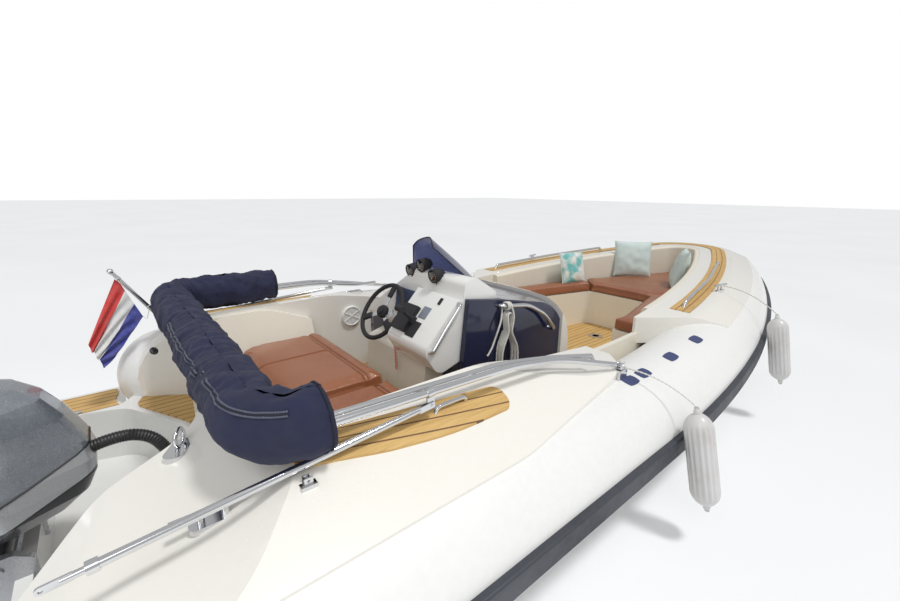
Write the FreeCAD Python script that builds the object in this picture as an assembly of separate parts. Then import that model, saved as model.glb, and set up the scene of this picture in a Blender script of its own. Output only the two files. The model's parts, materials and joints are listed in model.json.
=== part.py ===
import FreeCAD, Part

import math
import os

os.makedirs("parts", exist_ok=True)

V = FreeCAD.Vector

# Rigid inflatable boat, afloat. X runs forward, Y to port and Z up, in millimetres.
# Z 0 is the waterline and X 0 is where the bulkhead behind the seat meets the stern.

# Driving dimensions of the hull and the collar
TUBE_RADIUS = 260.0
TUBE_SPREAD = 1040.0
TUBE_LEVEL = 420.0
TAIL_X = 200.0
BEND_X = 2100.0
LONG_TURN = 22.5
STEM_RADIUS = 500.0
SHEER_ANGLE = 4.0
SHEER_RUN = 300.0
STRAKE_HEIGHT = 90.0
STRAKE_THICK = 24.0

TRANSOM_X = -400.0
TRANSOM_THICK = 45.0
TRANSOM_TOP = 250.0
KEEL_Z = -380.0
CHINE_Y = 880.0
CHINE_Z = -20.0
HULL_TOP = 230.0
STEM_X = 5000.0

# Driving dimensions of the deck and the cockpit
SOLE_Z = 250.0
SOLE_THICK = 12.0
COCKPIT_HALF = 740.0
WALL = 30.0
COAMING_Z = 812.0
DECK_REACH = 115.0
DECK_LIP = 9.0
DECK_END_X = 1950.0
QUARTER_AFT_X = -330.0
BULKHEAD_X = 290.0
SEAT_BACK_X = 340.0
SEAT_AFT_X = 480.0
SEAT_FRONT_X = 980.0
SEAT_BASE_Z = 530.0
SEAT_CUSHION = 90.0
WELL_HALF = 790.0
WELL_FRONT_X = 190.0
WELL_Z = 90.0
PLATFORM_AFT_X = -750.0
PLATFORM_Z = 300.0
PLATFORM_DEEP = 190.0
WALKWAY_Z = 370.0
TEAK = 8.0
FIT = 0.3

# Driving dimensions of the bow seat
BOW_AFT_X = 2700.0
BOW_BASE_Z = 570.0
BOW_CUSHION = 80.0
BOW_WELL_X = 3620.0
BOW_WELL_AFT_HALF = 480.0
BOW_WELL_FORE_HALF = 290.0
BOW_BACK = 70.0
BOW_DECK_REACH = 130.0

# Driving dimensions of the console
CONSOLE_HALF = 470.0
CONSOLE_AFT_X = 1300.0
CONSOLE_FRONT_X = 2130.0
HELM_HALF = 440.0
WHEEL_RADIUS = 165.0
WHEEL_X = 1180.0
WHEEL_Y = 110.0
WHEEL_Z = 840.0
WHEEL_RAKE = 35.0

# Driving dimensions of the helm and its fittings
CONSOLE_BACK_Z = 1000.0
CONSOLE_LIP = 18.0
KICK_HALF = 300.0
POD_PORT = -100.0
SHAFT_RADIUS = 10.0
BOSS_RADIUS = 36.0
BOSS_START = 42.0
RIM_RADIUS = 13.0
RAIL_RADIUS = 11.0
SCREEN_THICK = 5.0
SPEAKER_X = 1290.0
SPEAKER_Z = 640.0
SPEAKER_RADIUS = 72.0
TABLE_BORE = 30.0
TABLE_DEEP = 100.0
TABLE_X = 3311.0

# Driving dimensions of the engine
PIVOT_X = -430.0
PIVOT_Z = 300.0
CHEEK = 28.0
CHEEK_OUT = 165.0
TILT_TUBE = 14.0
STEER_X = -560.0
KINGPIN = 22.0
PROP_Z = -605.0
SKEG_Z = -800.0
PROP_RADIUS = 185.0
PROP_SHAFT = 11.0
GEARCASE_RADIUS = 58.0
COWL_FRONT_X = -138.0
COWL_AFT_X = -900.0
COWL_LOW_Z = 400.0
COWL_TOP_Z = 896.0
COWL_HALF = 215.0
HOSE_RADIUS = 23.0

# Driving dimensions of the folding top and its braces
HINGE_X = 1760.0
HINGE_Y = 1045.0
HINGE_Z = 742.0
HINGE_PIN = 5.0
PLAY = 0.05
FOLD_ANGLE = 59.0
FRAME_TUBE = 12.5
FRAME_HALF = 950.0
FRAME_AFT_HALF = 920.0
FRAME_AFT_X = 212.0
FRAME_KNEE_X = 1430.0
FRAME_KNEE_Z = 825.0
FRAME_MID_X = 1120.0
FRAME_MID_Z = 878.0
FRAME_AFT_Z = 896.0
SECOND_IN = 50.0
SECOND_DROP = 8.0
BOOT_RADIUS = 100.0
BOOT_HOLLOW = 60.0
BOOT_X = 237.0
BOOT_Z = 908.0
BOOT_HALF = 900.0
BRACE_PIN = 4.0
BRACE_DROP = 45.0
BRACE_TUBE = 11.0
BRACE_ROD = 8.0
BRACE_REACH = 520.0
BRACKET_X = 320.0
BRACKET_Y = 960.0
BRACKET_Z = 775.0

# columns: side, name, pivot x, foot x, y and z, length of the inner rod that shows, end of the boot
BRACES = (
    (-1, "starboard", 745, -200, 930, 757, 70, 400),
    (1, "port", 1240, 460, 1030, 745, 50, 830),
)

# Driving dimensions of the loose fittings
BOW_RAIL_INSET = 135.0
STAFF_Y = 897.0
FENDER_RADIUS = 60.0
LINE_RADIUS = 4.0
ROPE_RADIUS = 5.0

THETA = math.radians(LONG_TURN)
LONG_RADIUS = (TUBE_SPREAD - STEM_RADIUS * math.cos(THETA)) / (1 - math.cos(THETA))
STEM_CENTRE_X = BEND_X + (LONG_RADIUS - STEM_RADIUS) * math.sin(THETA)
SHEER = math.radians(SHEER_ANGLE)
SHEER_RADIUS = SHEER_RUN / math.sin(SHEER)
SHEER_X = BEND_X - SHEER_RUN
SHEER_LIFT = SHEER_RADIUS * (1 - math.cos(SHEER))


def save(shape, name):
    """Writes one sub-part to its STEP file."""
    shape.exportStep("parts/" + name + ".step")


def fused(shapes):
    """One shape from several that meet."""
    first = shapes[0]
    return first.fuse(shapes[1:]).removeSplitter() if len(shapes) > 1 else first


def apart(shapes):
    """Several solids that stay apart in one node."""
    return Part.makeCompound(shapes)


def mirrored(shape):
    """The same shape on the other side of the boat."""
    return shape.mirror(V(0, 0, 0), V(0, 1, 0))


def rounded_wire(points):
    """A closed wire through (a, b) or (a, b, radius) corners in the XY plane, with round corners."""
    count = len(points)
    ends = []
    for i, point in enumerate(points):
        corner = V(point[0], point[1], 0)
        radius = point[2] if len(point) > 2 else 0
        if not radius:
            ends.append((corner, corner, corner))
            continue
        before = points[i - 1]
        after = points[(i + 1) % count]
        back = (V(before[0], before[1], 0) - corner).normalize()
        ahead = (V(after[0], after[1], 0) - corner).normalize()
        half = back.getAngle(ahead) / 2
        reach = radius / math.tan(half)
        middle = (back + ahead).normalize()
        mid = corner + middle * (radius / math.sin(half) - radius)
        ends.append((corner + back * reach, mid, corner + ahead * reach))
    edges = []
    for i, (start, mid, end) in enumerate(ends):
        if (start - end).Length > 1e-6:
            edges.append(Part.Arc(start, mid, end).toShape())
        following = ends[(i + 1) % count][0]
        if (following - end).Length > 1e-6:
            edges.append(Part.LineSegment(end, following).toShape())
    return Part.Wire(edges)


def prism(points, low, high):
    """A vertical prism from a plan outline of (x, y, radius) corners."""
    wire = rounded_wire(points)
    wire.translate(V(0, 0, low))
    return Part.Face(wire).extrude(V(0, 0, high - low))


def side_prism(points, y_low, y_high):
    """A prism across the boat from a side outline of (x, z, radius) corners."""
    wire = rounded_wire(points)
    wire.rotate(V(0, 0, 0), V(1, 0, 0), 90)
    wire.translate(V(0, y_low, 0))
    return Part.Face(wire).extrude(V(0, y_high - y_low, 0))


def cross_face(points, x):
    """A flat face at X from an outline of (y, z, radius) corners."""
    wire = rounded_wire(points)
    wire.rotate(V(0, 0, 0), V(1, 1, 1), 120)
    wire.translate(V(x, 0, 0))
    return Part.Face(wire)


def long_prism(points, x_low, x_high):
    """A prism along the boat from an end outline of (y, z, radius) corners."""
    return cross_face(points, x_low).extrude(V(x_high - x_low, 0, 0))


def box(low, high):
    """A box between two corners."""
    size = V(*high) - V(*low)
    return Part.makeBox(size.x, size.y, size.z, V(*low))


def rod(start, end, radius):
    """A round bar between two points."""
    way = V(*end) - V(*start)
    return Part.makeCylinder(radius, way.Length, V(*start), way)


def bent_tube(points, radius):
    """A round tube along (x, y, z, bend radius) points, with tangent arcs at the bends."""
    edges = []
    places = [V(*p[:3]) for p in points]
    last = places[0]
    for i in range(1, len(points) - 1):
        corner = places[i]
        back = (places[i - 1] - corner).normalize()
        ahead = (places[i + 1] - corner).normalize()
        half = back.getAngle(ahead) / 2
        bend = points[i][3]
        reach = bend / math.tan(half)
        start = corner + back * reach
        end = corner + ahead * reach
        mid = corner + (back + ahead).normalize() * (bend / math.sin(half) - bend)
        if (start - last).Length > 1e-3:
            edges.append(Part.LineSegment(last, start).toShape())
        edges.append(Part.Arc(start, mid, end).toShape())
        last = end
    if (places[-1] - last).Length > 1e-3:
        edges.append(Part.LineSegment(last, places[-1]).toShape())
    path = Part.Wire(edges)
    way = edges[0].tangentAt(edges[0].FirstParameter)
    circle = Part.Wire(Part.makeCircle(radius, places[0], way))
    return path.makePipeShell([circle], True, False)


def turned(points):
    """A round body about the X axis from (x, radius, corner radius) points, closed at both ends."""
    outline = [(points[0][0], 0)] + points + [(points[-1][0], 0)]
    return Part.Face(rounded_wire(outline)).revolve(V(0, 0, 0), V(1, 0, 0), 360)


def aimed(shape, origin, way):
    """Turns a shape's X axis to a direction, its Y axis staying level, and moves its origin to a place."""
    turn = FreeCAD.Rotation(V(*way), V(0, 1, 0), V(0, 0, 1), "XYZ")
    shape.Placement = FreeCAD.Placement(V(*origin), turn)
    return shape


def bend_for(points, share=0.45):
    """The points of a limp line, each with the largest arc that its two runs allow."""
    out = [points[0] + (0,)]
    for i in range(1, len(points) - 1):
        a, b, c = (V(*points[j]) for j in (i - 1, i, i + 1))
        half = (a - b).getAngle(c - b) / 2
        turn = math.pi - 2 * half
        run = min((a - b).Length, (c - b).Length)
        out.append(points[i] + (share * run / math.tan(turn / 2),))
    out.append(points[-1] + (0,))
    return out


def to_sheer(shape):
    """Moves a shape from the level plane of the straight tubes to the rising plane of the bow."""
    shape.translate(V(-BEND_X, 0, -TUBE_LEVEL))
    shape.rotate(V(0, 0, 0), V(0, 1, 0), -SHEER_ANGLE)
    shape.translate(V(BEND_X, 0, TUBE_LEVEL + SHEER_LIFT))
    return shape


def bow_wire(inset, x_aft, z):
    """The plan outline of the bow, inset from the middle of the collar, closed across at x_aft."""
    half = TUBE_SPREAD - inset
    big = LONG_RADIUS - inset
    small = STEM_RADIUS - inset
    centre_y = LONG_RADIUS - TUBE_SPREAD

    def long_point(angle, side):
        return V(BEND_X + big * math.sin(angle), side * (big * math.cos(angle) - centre_y), z)

    def stem_point(angle, side):
        return V(STEM_CENTRE_X + small * math.sin(angle), side * small * math.cos(angle), z)

    corner = {side: long_point(THETA, side) for side in (-1, 1)}
    halfway = (THETA + math.pi / 2) / 2
    tip = V(STEM_CENTRE_X + small, 0, z)
    edges = [
        Part.LineSegment(V(x_aft, -half, z), V(BEND_X, -half, z)).toShape(),
        Part.Arc(V(BEND_X, -half, z), long_point(THETA / 2, -1), corner[-1]).toShape(),
        Part.Arc(corner[-1], stem_point(halfway, -1), tip).toShape(),
        Part.Arc(tip, stem_point(halfway, 1), corner[1]).toShape(),
        Part.Arc(corner[1], long_point(THETA / 2, 1), V(BEND_X, half, z)).toShape(),
        Part.LineSegment(V(BEND_X, half, z), V(x_aft, half, z)).toShape(),
        Part.LineSegment(V(x_aft, half, z), V(x_aft, -half, z)).toShape(),
    ]
    return Part.Wire(edges)


def bow_prism(inset, x_aft, low, high):
    """A prism on the bow's plan outline, from x_aft forward."""
    block = Part.Face(bow_wire(inset, min(x_aft, BEND_X - 100), low)).extrude(V(0, 0, high - low))
    if x_aft > BEND_X - 100:
        block = block.common(box((x_aft, -2000, low - 1), (STEM_X + 2000, 2000, high + 1)))
    return block


def collar_bow(section):
    """A section face at BEND_X on the starboard tube, taken round the bow and mirrored to port."""
    long_axis = V(BEND_X, LONG_RADIUS - TUBE_SPREAD, 0)
    long_part = section.revolve(long_axis, V(0, 0, 1), LONG_TURN)
    bend = section.copy()
    bend.rotate(long_axis, V(0, 0, 1), LONG_TURN)
    stem_part = bend.revolve(V(STEM_CENTRE_X, 0, 0), V(0, 0, 1), 90 - LONG_TURN)
    half = long_part.fuse(stem_part)
    return to_sheer(half.fuse(mirrored(half)).removeSplitter())


def collar_rise(section):
    """The same section on the curve from the level tube to the rising one, on the starboard side."""
    face = section.copy()
    face.translate(V(SHEER_X - BEND_X, 0, 0))
    return face.revolve(V(SHEER_X, 0, TUBE_LEVEL + SHEER_RADIUS), V(0, -1, 0), SHEER_ANGLE)


def collar_side(section, x_aft):
    """The same section on the level tube, on the starboard side."""
    face = section.copy()
    face.translate(V(x_aft - BEND_X, 0, 0))
    return face.extrude(V(SHEER_X - x_aft, 0, 0))


def tube_section(radius):
    """The round section of the collar at BEND_X on the starboard side."""
    circle = Part.makeCircle(radius, V(BEND_X, -TUBE_SPREAD, TUBE_LEVEL), V(1, 0, 0))
    return Part.Face(Part.Wire(circle))


def collar():
    """The two side tubes with their round tails, and the bow tube."""
    section = tube_section(TUBE_RADIUS)
    tail = Part.makeSphere(TUBE_RADIUS, V(TAIL_X, -TUBE_SPREAD, TUBE_LEVEL))
    side = fused([tail, collar_side(section, TAIL_X)])
    rise = collar_rise(section)
    bow = fused([collar_bow(section), rise, mirrored(rise)])
    return side, mirrored(side), bow


def strake():
    """The dark rubbing strake along the widest line of the collar."""
    outer = TUBE_SPREAD + TUBE_RADIUS + STRAKE_THICK
    inner = TUBE_SPREAD + TUBE_RADIUS - STRAKE_THICK
    low = TUBE_LEVEL - STRAKE_HEIGHT / 2
    high = TUBE_LEVEL + STRAKE_HEIGHT / 2
    corners = [(-outer, low, 10), (-inner, low), (-inner, high), (-outer, high, 10)]
    block = cross_face(corners, BEND_X)
    section = block.cut(tube_section(TUBE_RADIUS + FIT)).Faces[0]
    side = collar_side(section, TAIL_X)
    rise = collar_rise(section)
    half = fused([side, rise])
    return fused([half, collar_bow(section), mirrored(half)])


def hull():
    """The vee bottom, solid up to the underside of the cockpit sole."""
    # columns: x, keel z, chine half breadth, chine z, top half breadth
    stations = [
        (TRANSOM_X, KEEL_Z, CHINE_Y, CHINE_Z, CHINE_Y + 50),
        (2600, KEEL_Z, CHINE_Y, CHINE_Z, CHINE_Y + 50),
        (3500, -330, 700, 30, 760),
        (4300, -190, 430, 90, 500),
        (4800, -20, 200, 150, 280),
        (STEM_X, 90, 60, 190, 120),
    ]
    wires = []
    for x, keel, chine, chine_z, top in stations:
        ring = [(0, keel), (chine, chine_z), (top, HULL_TOP), (-top, HULL_TOP), (-chine, chine_z)]
        places = [V(x, y, z) for y, z in ring]
        wires.append(Part.makePolygon(places + places[:1]))
    return Part.makeLoft(wires, True, True)


def collar_parts():
    """Writes the collar, its strake and the hull below, and returns the tubes and the hull."""
    starboard_tube, port_tube, bow_tube = collar()
    save(starboard_tube, "starboard_tube")
    save(port_tube, "port_tube")
    save(bow_tube, "bow_tube")
    save(strake(), "rubbing_strake")
    tubes = [starboard_tube, port_tube, bow_tube]
    bottom = hull().cut(tubes + [well_space(), table_pocket()])
    save(bottom, "hull_bottom")
    return tubes, bottom


def well_space():
    """The open splash well in front of the engine, as a solid to cut away."""
    plan = [
        (TRANSOM_X + TRANSOM_THICK, -WELL_HALF),
        (-290, -680, 120),
        (-130, -470, 200),
        (WELL_FRONT_X, -300, 220),
        (WELL_FRONT_X, 330, 260),
        (-40, 735, 150),
        (-210, WELL_HALF, 100),
        (TRANSOM_X + TRANSOM_THICK, WELL_HALF),
    ]
    return prism(plan, WELL_Z, COAMING_Z + 200)


def cockpit_space():
    """The open cockpit between the walls, as a solid to cut away."""
    inset = TUBE_SPREAD - COCKPIT_HALF
    low = bow_prism(inset, SEAT_BACK_X, SOLE_Z - SOLE_THICK, COAMING_Z + 400)
    return low


def stern_deck(tubes):
    """The cream deck moulding round the after cockpit, with the solid starboard quarter."""
    seam = TUBE_SPREAD + DECK_REACH
    seam_z = TUBE_LEVEL + math.sqrt(TUBE_RADIUS ** 2 - DECK_REACH ** 2) + DECK_LIP
    shoulder = COCKPIT_HALF + 170
    section = [
        (-seam, HULL_TOP), (-seam, seam_z), (-shoulder, COAMING_Z - 25, 350),
        (-COCKPIT_HALF, COAMING_Z), (COCKPIT_HALF, COAMING_Z),
        (shoulder, COAMING_Z - 25, 350), (seam, seam_z), (seam, HULL_TOP),
    ]
    crown = long_prism(section, QUARTER_AFT_X, DECK_END_X)
    plan = [
        (QUARTER_AFT_X, -seam), (1000, -seam, 900), (1800, -TUBE_SPREAD - 5, 400), (DECK_END_X, -880),
        (DECK_END_X, 880), (1800, TUBE_SPREAD + 5, 400), (1000, seam, 900), (BULKHEAD_X + 10, seam),
        (BULKHEAD_X + 10, 880), (15, 880), (60, 800), (BULKHEAD_X, 690, 80), (BULKHEAD_X, 0), (QUARTER_AFT_X, 0),
    ]
    deck = crown.common(prism(plan, HULL_TOP, COAMING_Z + 50))
    fore = [
        (1150, COAMING_Z, 900), (1560, 735, 700), (DECK_END_X, 700), (DECK_END_X, HULL_TOP),
    ]
    port_fall = [(10, HULL_TOP), (10, 380), (70, 640, 260), (330, 800, 200)] + fore
    starboard_fall = [
        (QUARTER_AFT_X, HULL_TOP), (QUARTER_AFT_X, 545), (-130, 640, 500), (120, 680, 500), (330, 795, 120),
        (420, COAMING_Z, 200),
    ] + fore
    falls = fused([side_prism(port_fall, 0, seam + 10), side_prism(starboard_fall, -seam - 10, 0)])
    deck = deck.common(falls)
    return deck.cut(tubes + [well_space(), cockpit_space()])


def low_deck(tubes, bottom, deck):
    """The walkway round the port side of the splash well."""
    plan = [
        (TRANSOM_X, -WELL_HALF - 10), (TRANSOM_X, WELL_HALF + 10), (-60, WELL_HALF + 10), (10, 900),
        (BULKHEAD_X, 900), (SEAT_BACK_X - WALL, 900), (SEAT_BACK_X - WALL, -900), (TRANSOM_X, -900),
    ]
    body = prism(plan, WELL_Z - 60, WALKWAY_Z)
    notch = box((TRANSOM_X - 1, -640, TRANSOM_TOP), (TRANSOM_X + TRANSOM_THICK + 1, 640, WALKWAY_Z + 1))
    low = body.cut(tubes + [bottom, deck, well_space(), notch])
    return max(low.Solids, key=lambda solid: solid.Volume)


def platform(side, solids):
    """One boarding platform beside the engine."""
    outer = TUBE_SPREAD + 215
    plan = [
        (PLATFORM_AFT_X, side * WELL_HALF, 60), (PLATFORM_AFT_X, side * outer, 140),
        (-40, side * outer), (-40, side * (WELL_HALF + 60)), (-70, side * (WELL_HALF + 12)),
        (TRANSOM_X + 2, side * (WELL_HALF + 12)), (TRANSOM_X + 2, side * WELL_HALF),
    ]
    return prism(plan, PLATFORM_Z - PLATFORM_DEEP, PLATFORM_Z).cut(solids)


def cockpit_liner(solids):
    """The cream moulding that lines the cockpit walls and carries the sole."""
    inset = TUBE_SPREAD - COCKPIT_HALF
    outer = bow_prism(inset - WALL, SEAT_BACK_X - WALL, HULL_TOP, 665)
    well = bow_prism(inset, SEAT_BACK_X, SOLE_Z - SOLE_THICK, COAMING_Z)
    return outer.cut([well, table_pocket()] + solids)


def sole():
    """The teak planked cockpit sole."""
    inset = TUBE_SPREAD - COCKPIT_HALF
    return bow_prism(inset, SEAT_AFT_X, SOLE_Z - SOLE_THICK, SOLE_Z).cut(table_pocket())


def table_pocket():
    """The pocket in the sole and the hull that takes the table socket."""
    return rod((TABLE_X, 0, SOLE_Z - TABLE_DEEP - 12), (TABLE_X, 0, SOLE_Z + 1), TABLE_BORE + 6 + FIT)


def table_socket():
    """The flanged socket in the fore cockpit that takes a table leg."""
    cup = fused([
        rod((TABLE_X, 0, SOLE_Z), (TABLE_X, 0, SOLE_Z + 6), TABLE_BORE + 32),
        rod((TABLE_X, 0, SOLE_Z - TABLE_DEEP - 8), (TABLE_X, 0, SOLE_Z + 1), TABLE_BORE + 6),
    ])
    save(cup.cut(rod((TABLE_X, 0, SOLE_Z - TABLE_DEEP), (TABLE_X, 0, SOLE_Z + 7), TABLE_BORE)), "table_socket")


def tapered_pit(points, grow, low, high):
    """A pit whose outline grows from its bottom to its top."""
    small = rounded_wire(points)
    small.translate(V(0, 0, low))
    wide = [(x - grow, y + math.copysign(grow, y)) + tuple(rest) for x, y, *rest in points]
    big = rounded_wire(wide)
    big.translate(V(0, 0, high))
    return Part.makeLoft([small, big], True, True)


def aft_seat():
    """The after bench: its base, the moulded surround and the two cushions."""
    base = box((SEAT_BACK_X, -COCKPIT_HALF, SOLE_Z), (SEAT_FRONT_X - 40, COCKPIT_HALF, SEAT_BASE_Z))
    edge = box((SEAT_FRONT_X - 40, -COCKPIT_HALF, SEAT_BASE_Z - 50), (SEAT_FRONT_X, COCKPIT_HALF, SEAT_BASE_Z))
    save(fused([base, edge]), "aft_seat_base")
    half = COCKPIT_HALF - 115
    pit = [(SEAT_FRONT_X + 60, -half), (SEAT_AFT_X, -half, 130), (SEAT_AFT_X, half, 130), (SEAT_FRONT_X + 60, half)]
    block = prism([
        (SEAT_BACK_X, -COCKPIT_HALF), (SEAT_FRONT_X, -COCKPIT_HALF), (SEAT_FRONT_X, COCKPIT_HALF),
        (SEAT_BACK_X, COCKPIT_HALF),
    ], SEAT_BASE_Z, 790)
    slope = side_prism([
        (SEAT_BACK_X, SEAT_BASE_Z), (SEAT_BACK_X, 790), (720, 790, 400), (SEAT_FRONT_X, 690),
        (SEAT_FRONT_X, SEAT_BASE_Z),
    ], -COCKPIT_HALF, COCKPIT_HALF)
    surround = block.common(slope).cut(tapered_pit(pit, 90, SEAT_BASE_Z - 1, 800))
    save(surround, "aft_seat_surround")
    low = SEAT_BASE_Z + FIT
    high = SEAT_BASE_Z + SEAT_CUSHION
    fold = -230
    port = [
        (SEAT_FRONT_X + 25, fold + 4, 40), (SEAT_FRONT_X + 25, half - 6, 60),
        (SEAT_AFT_X + 8, half - 6, 125), (SEAT_AFT_X + 8, fold + 4),
    ]
    star = [
        (SEAT_FRONT_X + 25, fold - 4), (SEAT_AFT_X + 8, fold - 4),
        (SEAT_AFT_X + 8, -half + 6, 125), (SEAT_FRONT_X + 25, -half + 6, 60),
    ]
    save(prism(port, low, high), "aft_cushion_port")
    save(prism(star, low, high - 15), "aft_cushion_starboard")


def bow_seat(tubes):
    """The round bow seat: lockers, cushions, backrest and the foredeck moulding."""
    inset = TUBE_SPREAD - COCKPIT_HALF
    aft = BOW_AFT_X
    pit = [
        (aft - 200, -BOW_WELL_AFT_HALF), (aft + 120, -BOW_WELL_AFT_HALF, 120),
        (BOW_WELL_X, -BOW_WELL_FORE_HALF, 90), (BOW_WELL_X, BOW_WELL_FORE_HALF, 90),
        (aft + 120, BOW_WELL_AFT_HALF, 120), (aft - 200, BOW_WELL_AFT_HALF),
    ]
    space = prism(pit, SOLE_Z - 50, 1200)
    base = bow_prism(inset, aft, SOLE_Z, BOW_BASE_Z).cut(space)
    save(base, "bow_seat_base")
    back_section = cross_face([
        (-COCKPIT_HALF, 380), (-COCKPIT_HALF, 722), (-COCKPIT_HALF + BOW_BACK - 25, 722, 20),
        (-COCKPIT_HALF + BOW_BACK, 380),
    ], BEND_X)
    ring = collar_bow(back_section)
    keep = box((aft, -1500, BOW_BASE_Z), (7000, 1500, 1500))
    rest = ring.common(keep)
    low = BOW_BASE_Z + FIT
    high = BOW_BASE_Z + BOW_CUSHION
    seat = bow_prism(inset + BOW_BACK + 8, aft + 12, low, high).cut(space)
    corner = (BOW_WELL_X, BOW_WELL_FORE_HALF)
    reach = 900
    fore = prism([
        (corner[0] - 60, -corner[1] + 60), (corner[0] + reach, -corner[1] - reach),
        (corner[0] + reach * 3, 0), (corner[0] + reach, corner[1] + reach), (corner[0] - 60, corner[1] - 60),
    ], 0, 1200)
    wide_fore = prism([
        (corner[0] - 70, -corner[1] + 62), (corner[0] + reach, -corner[1] - reach - 8),
        (corner[0] + reach * 3, 0), (corner[0] + reach, corner[1] + reach + 8), (corner[0] - 70, corner[1] - 62),
    ], 0, 1200)
    cushions = apart([seat.common(fore)] + seat.cut(wide_fore).Solids)
    save(cushions, "bow_cushions")
    reach_y = TUBE_SPREAD + BOW_DECK_REACH
    edge_z = TUBE_LEVEL + math.sqrt(TUBE_RADIUS ** 2 - BOW_DECK_REACH ** 2) + DECK_LIP
    crown = cross_face([
        (-reach_y, 560), (-reach_y, edge_z), (-TUBE_SPREAD + 20, 720, 200), (-COCKPIT_HALF, 726),
        (-COCKPIT_HALF, 560),
    ], BEND_X)
    plan = [
        (2480, -745), (2640, -900, 200), (2960, -1190, 200), (7000, -1190), (7000, 1190),
        (2960, 1190, 200), (2640, 900, 200), (2480, 745),
    ]
    deck = collar_bow(crown).common(prism(plan, 400, 1300)).cut(tubes)
    save(deck, "bow_deck")
    rest = rest.cut(deck)
    save(rest, "bow_backrest")
    strip = cross_face([(-965, 690), (-965, 723.5), (-845, 729.5), (-845, 690)], BEND_X)
    ring = collar_bow(strip).common(box((2790, -1500, 0), (7000, 1500, 1500)))
    return deck, ring.cut(deck), [cushions, rest, deck]


def console_form(grow):
    """The console's outer form, whose upper front corners round off towards the sides."""
    wires = []
    for share in (-1, -0.9, -0.7, -0.35, 0.35, 0.7, 0.9, 1):
        soft = abs(share) ** 4
        ring = rounded_wire([
            (CONSOLE_AFT_X, SOLE_Z), (CONSOLE_FRONT_X + 40 + grow, SOLE_Z),
            (CONSOLE_FRONT_X + 30 - 50 * soft + grow, 855 + grow, 90 + 240 * soft),
            (1580, CONSOLE_BACK_Z - 35 + grow), (CONSOLE_AFT_X + 30, CONSOLE_BACK_Z + grow),
            (CONSOLE_AFT_X, 700),
        ])
        ring.rotate(V(0, 0, 0), V(1, 0, 0), 90)
        ring.translate(V(0, share * (CONSOLE_HALF + grow), 0))
        wires.append(ring)
    return Part.makeLoft(wires, True, True)


def console():
    """The steering console: dark shell, cream front panel, helm moulding, kick panel and screen."""
    shell = console_form(0)
    save(shell, "console_shell")
    ahead = box((CONSOLE_FRONT_X - 50, -700, SOLE_Z), (CONSOLE_FRONT_X + 200, 700, 1000))
    save(console_form(CONSOLE_LIP).common(ahead).cut(shell), "console_front_panel")
    helm = helm_moulding(shell)
    save(helm, "helm_moulding")
    foot = side_prism([
        (CONSOLE_AFT_X - 75, SOLE_Z), (CONSOLE_AFT_X + 1, SOLE_Z), (CONSOLE_AFT_X + 1, 680),
        (CONSOLE_AFT_X - 110, 650, 30), (CONSOLE_AFT_X - 140, 330, 60),
    ], -KICK_HALF, KICK_HALF)
    save(foot.cut([shell, helm]), "console_kick_panel")
    base = Part.Arc(V(1290, -420, 1080), V(1665, 0, 955), V(1290, 420, 1080)).toShape()
    top = Part.Arc(V(1310, -130, 1235), V(1420, 0, 1265), V(1310, 130, 1235)).toShape()
    sheet = Part.makeRuledSurface(base, top).extrude(V(SCREEN_THICK, 0, 2))
    save(sheet.cut([shell, helm]), "windscreen")
    return shell, helm


def wheel_way():
    """The direction of the steering shaft, from the wheel down into the helm."""
    rake = math.radians(WHEEL_RAKE)
    return V(math.cos(rake), 0, -math.sin(rake))


def helm_moulding(shell):
    """The cream helm: a dash across the console, the starboard pod and the steering boss."""
    dash = side_prism([
        (CONSOLE_AFT_X + 30, 690), (CONSOLE_AFT_X + 60, 960), (1560, 950), (1540, 1012, 30),
        (1405, 1098, 50), (1330, 1088, 40), (1285, 745, 60),
    ], -HELM_HALF, HELM_HALF)
    pod = side_prism([
        (CONSOLE_AFT_X + 30, 690), (CONSOLE_AFT_X + 60, 960), (1290, 1005), (1075, 775, 50), (1165, 640, 60),
    ], -HELM_HALF, POD_PORT)
    centre = V(WHEEL_X, WHEEL_Y, WHEEL_Z)
    way = wheel_way()
    boss = Part.makeCylinder(BOSS_RADIUS, 90, centre + way * BOSS_START, way)
    bore = Part.makeCylinder(SHAFT_RADIUS + PLAY, 45, centre + way * (BOSS_START - 1), way)
    return fused([dash, pod, boss]).cut([shell, bore])


def steering_wheel():
    """The wheel with three spokes on its shaft."""
    rim = Part.makeTorus(WHEEL_RADIUS, RIM_RADIUS, V(0, 0, 0), V(1, 0, 0))
    hub = turned([(-22, 38, 12), (BOSS_START - FIT, 38)])
    shaft = rod((0, 0, 0), (BOSS_START + 42, 0, 0), SHAFT_RADIUS)
    spokes = []
    for angle in (90, 210, 330):
        spoke = box((-9, -20, 25), (3, 20, WHEEL_RADIUS))
        spoke.rotate(V(0, 0, 0), V(1, 0, 0), angle)
        spokes.append(spoke)
    wheel = fused([rim, hub, shaft] + spokes)
    save(aimed(wheel, (WHEEL_X, WHEEL_Y, WHEEL_Z), wheel_way()), "steering_wheel")


def grab_rail(radius):
    """The rail on the starboard side of the console, also used to shape what hangs on it."""
    out = -CONSOLE_HALF - 32
    return bent_tube([
        (1530, -CONSOLE_HALF + 5, 940, 0), (1530, out, 945, 20), (1740, out, 915, 300), (1890, out, 835, 300),
        (1985, out, 730, 20), (1985, -CONSOLE_HALF + 5, 725, 0),
    ], radius)


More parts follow.
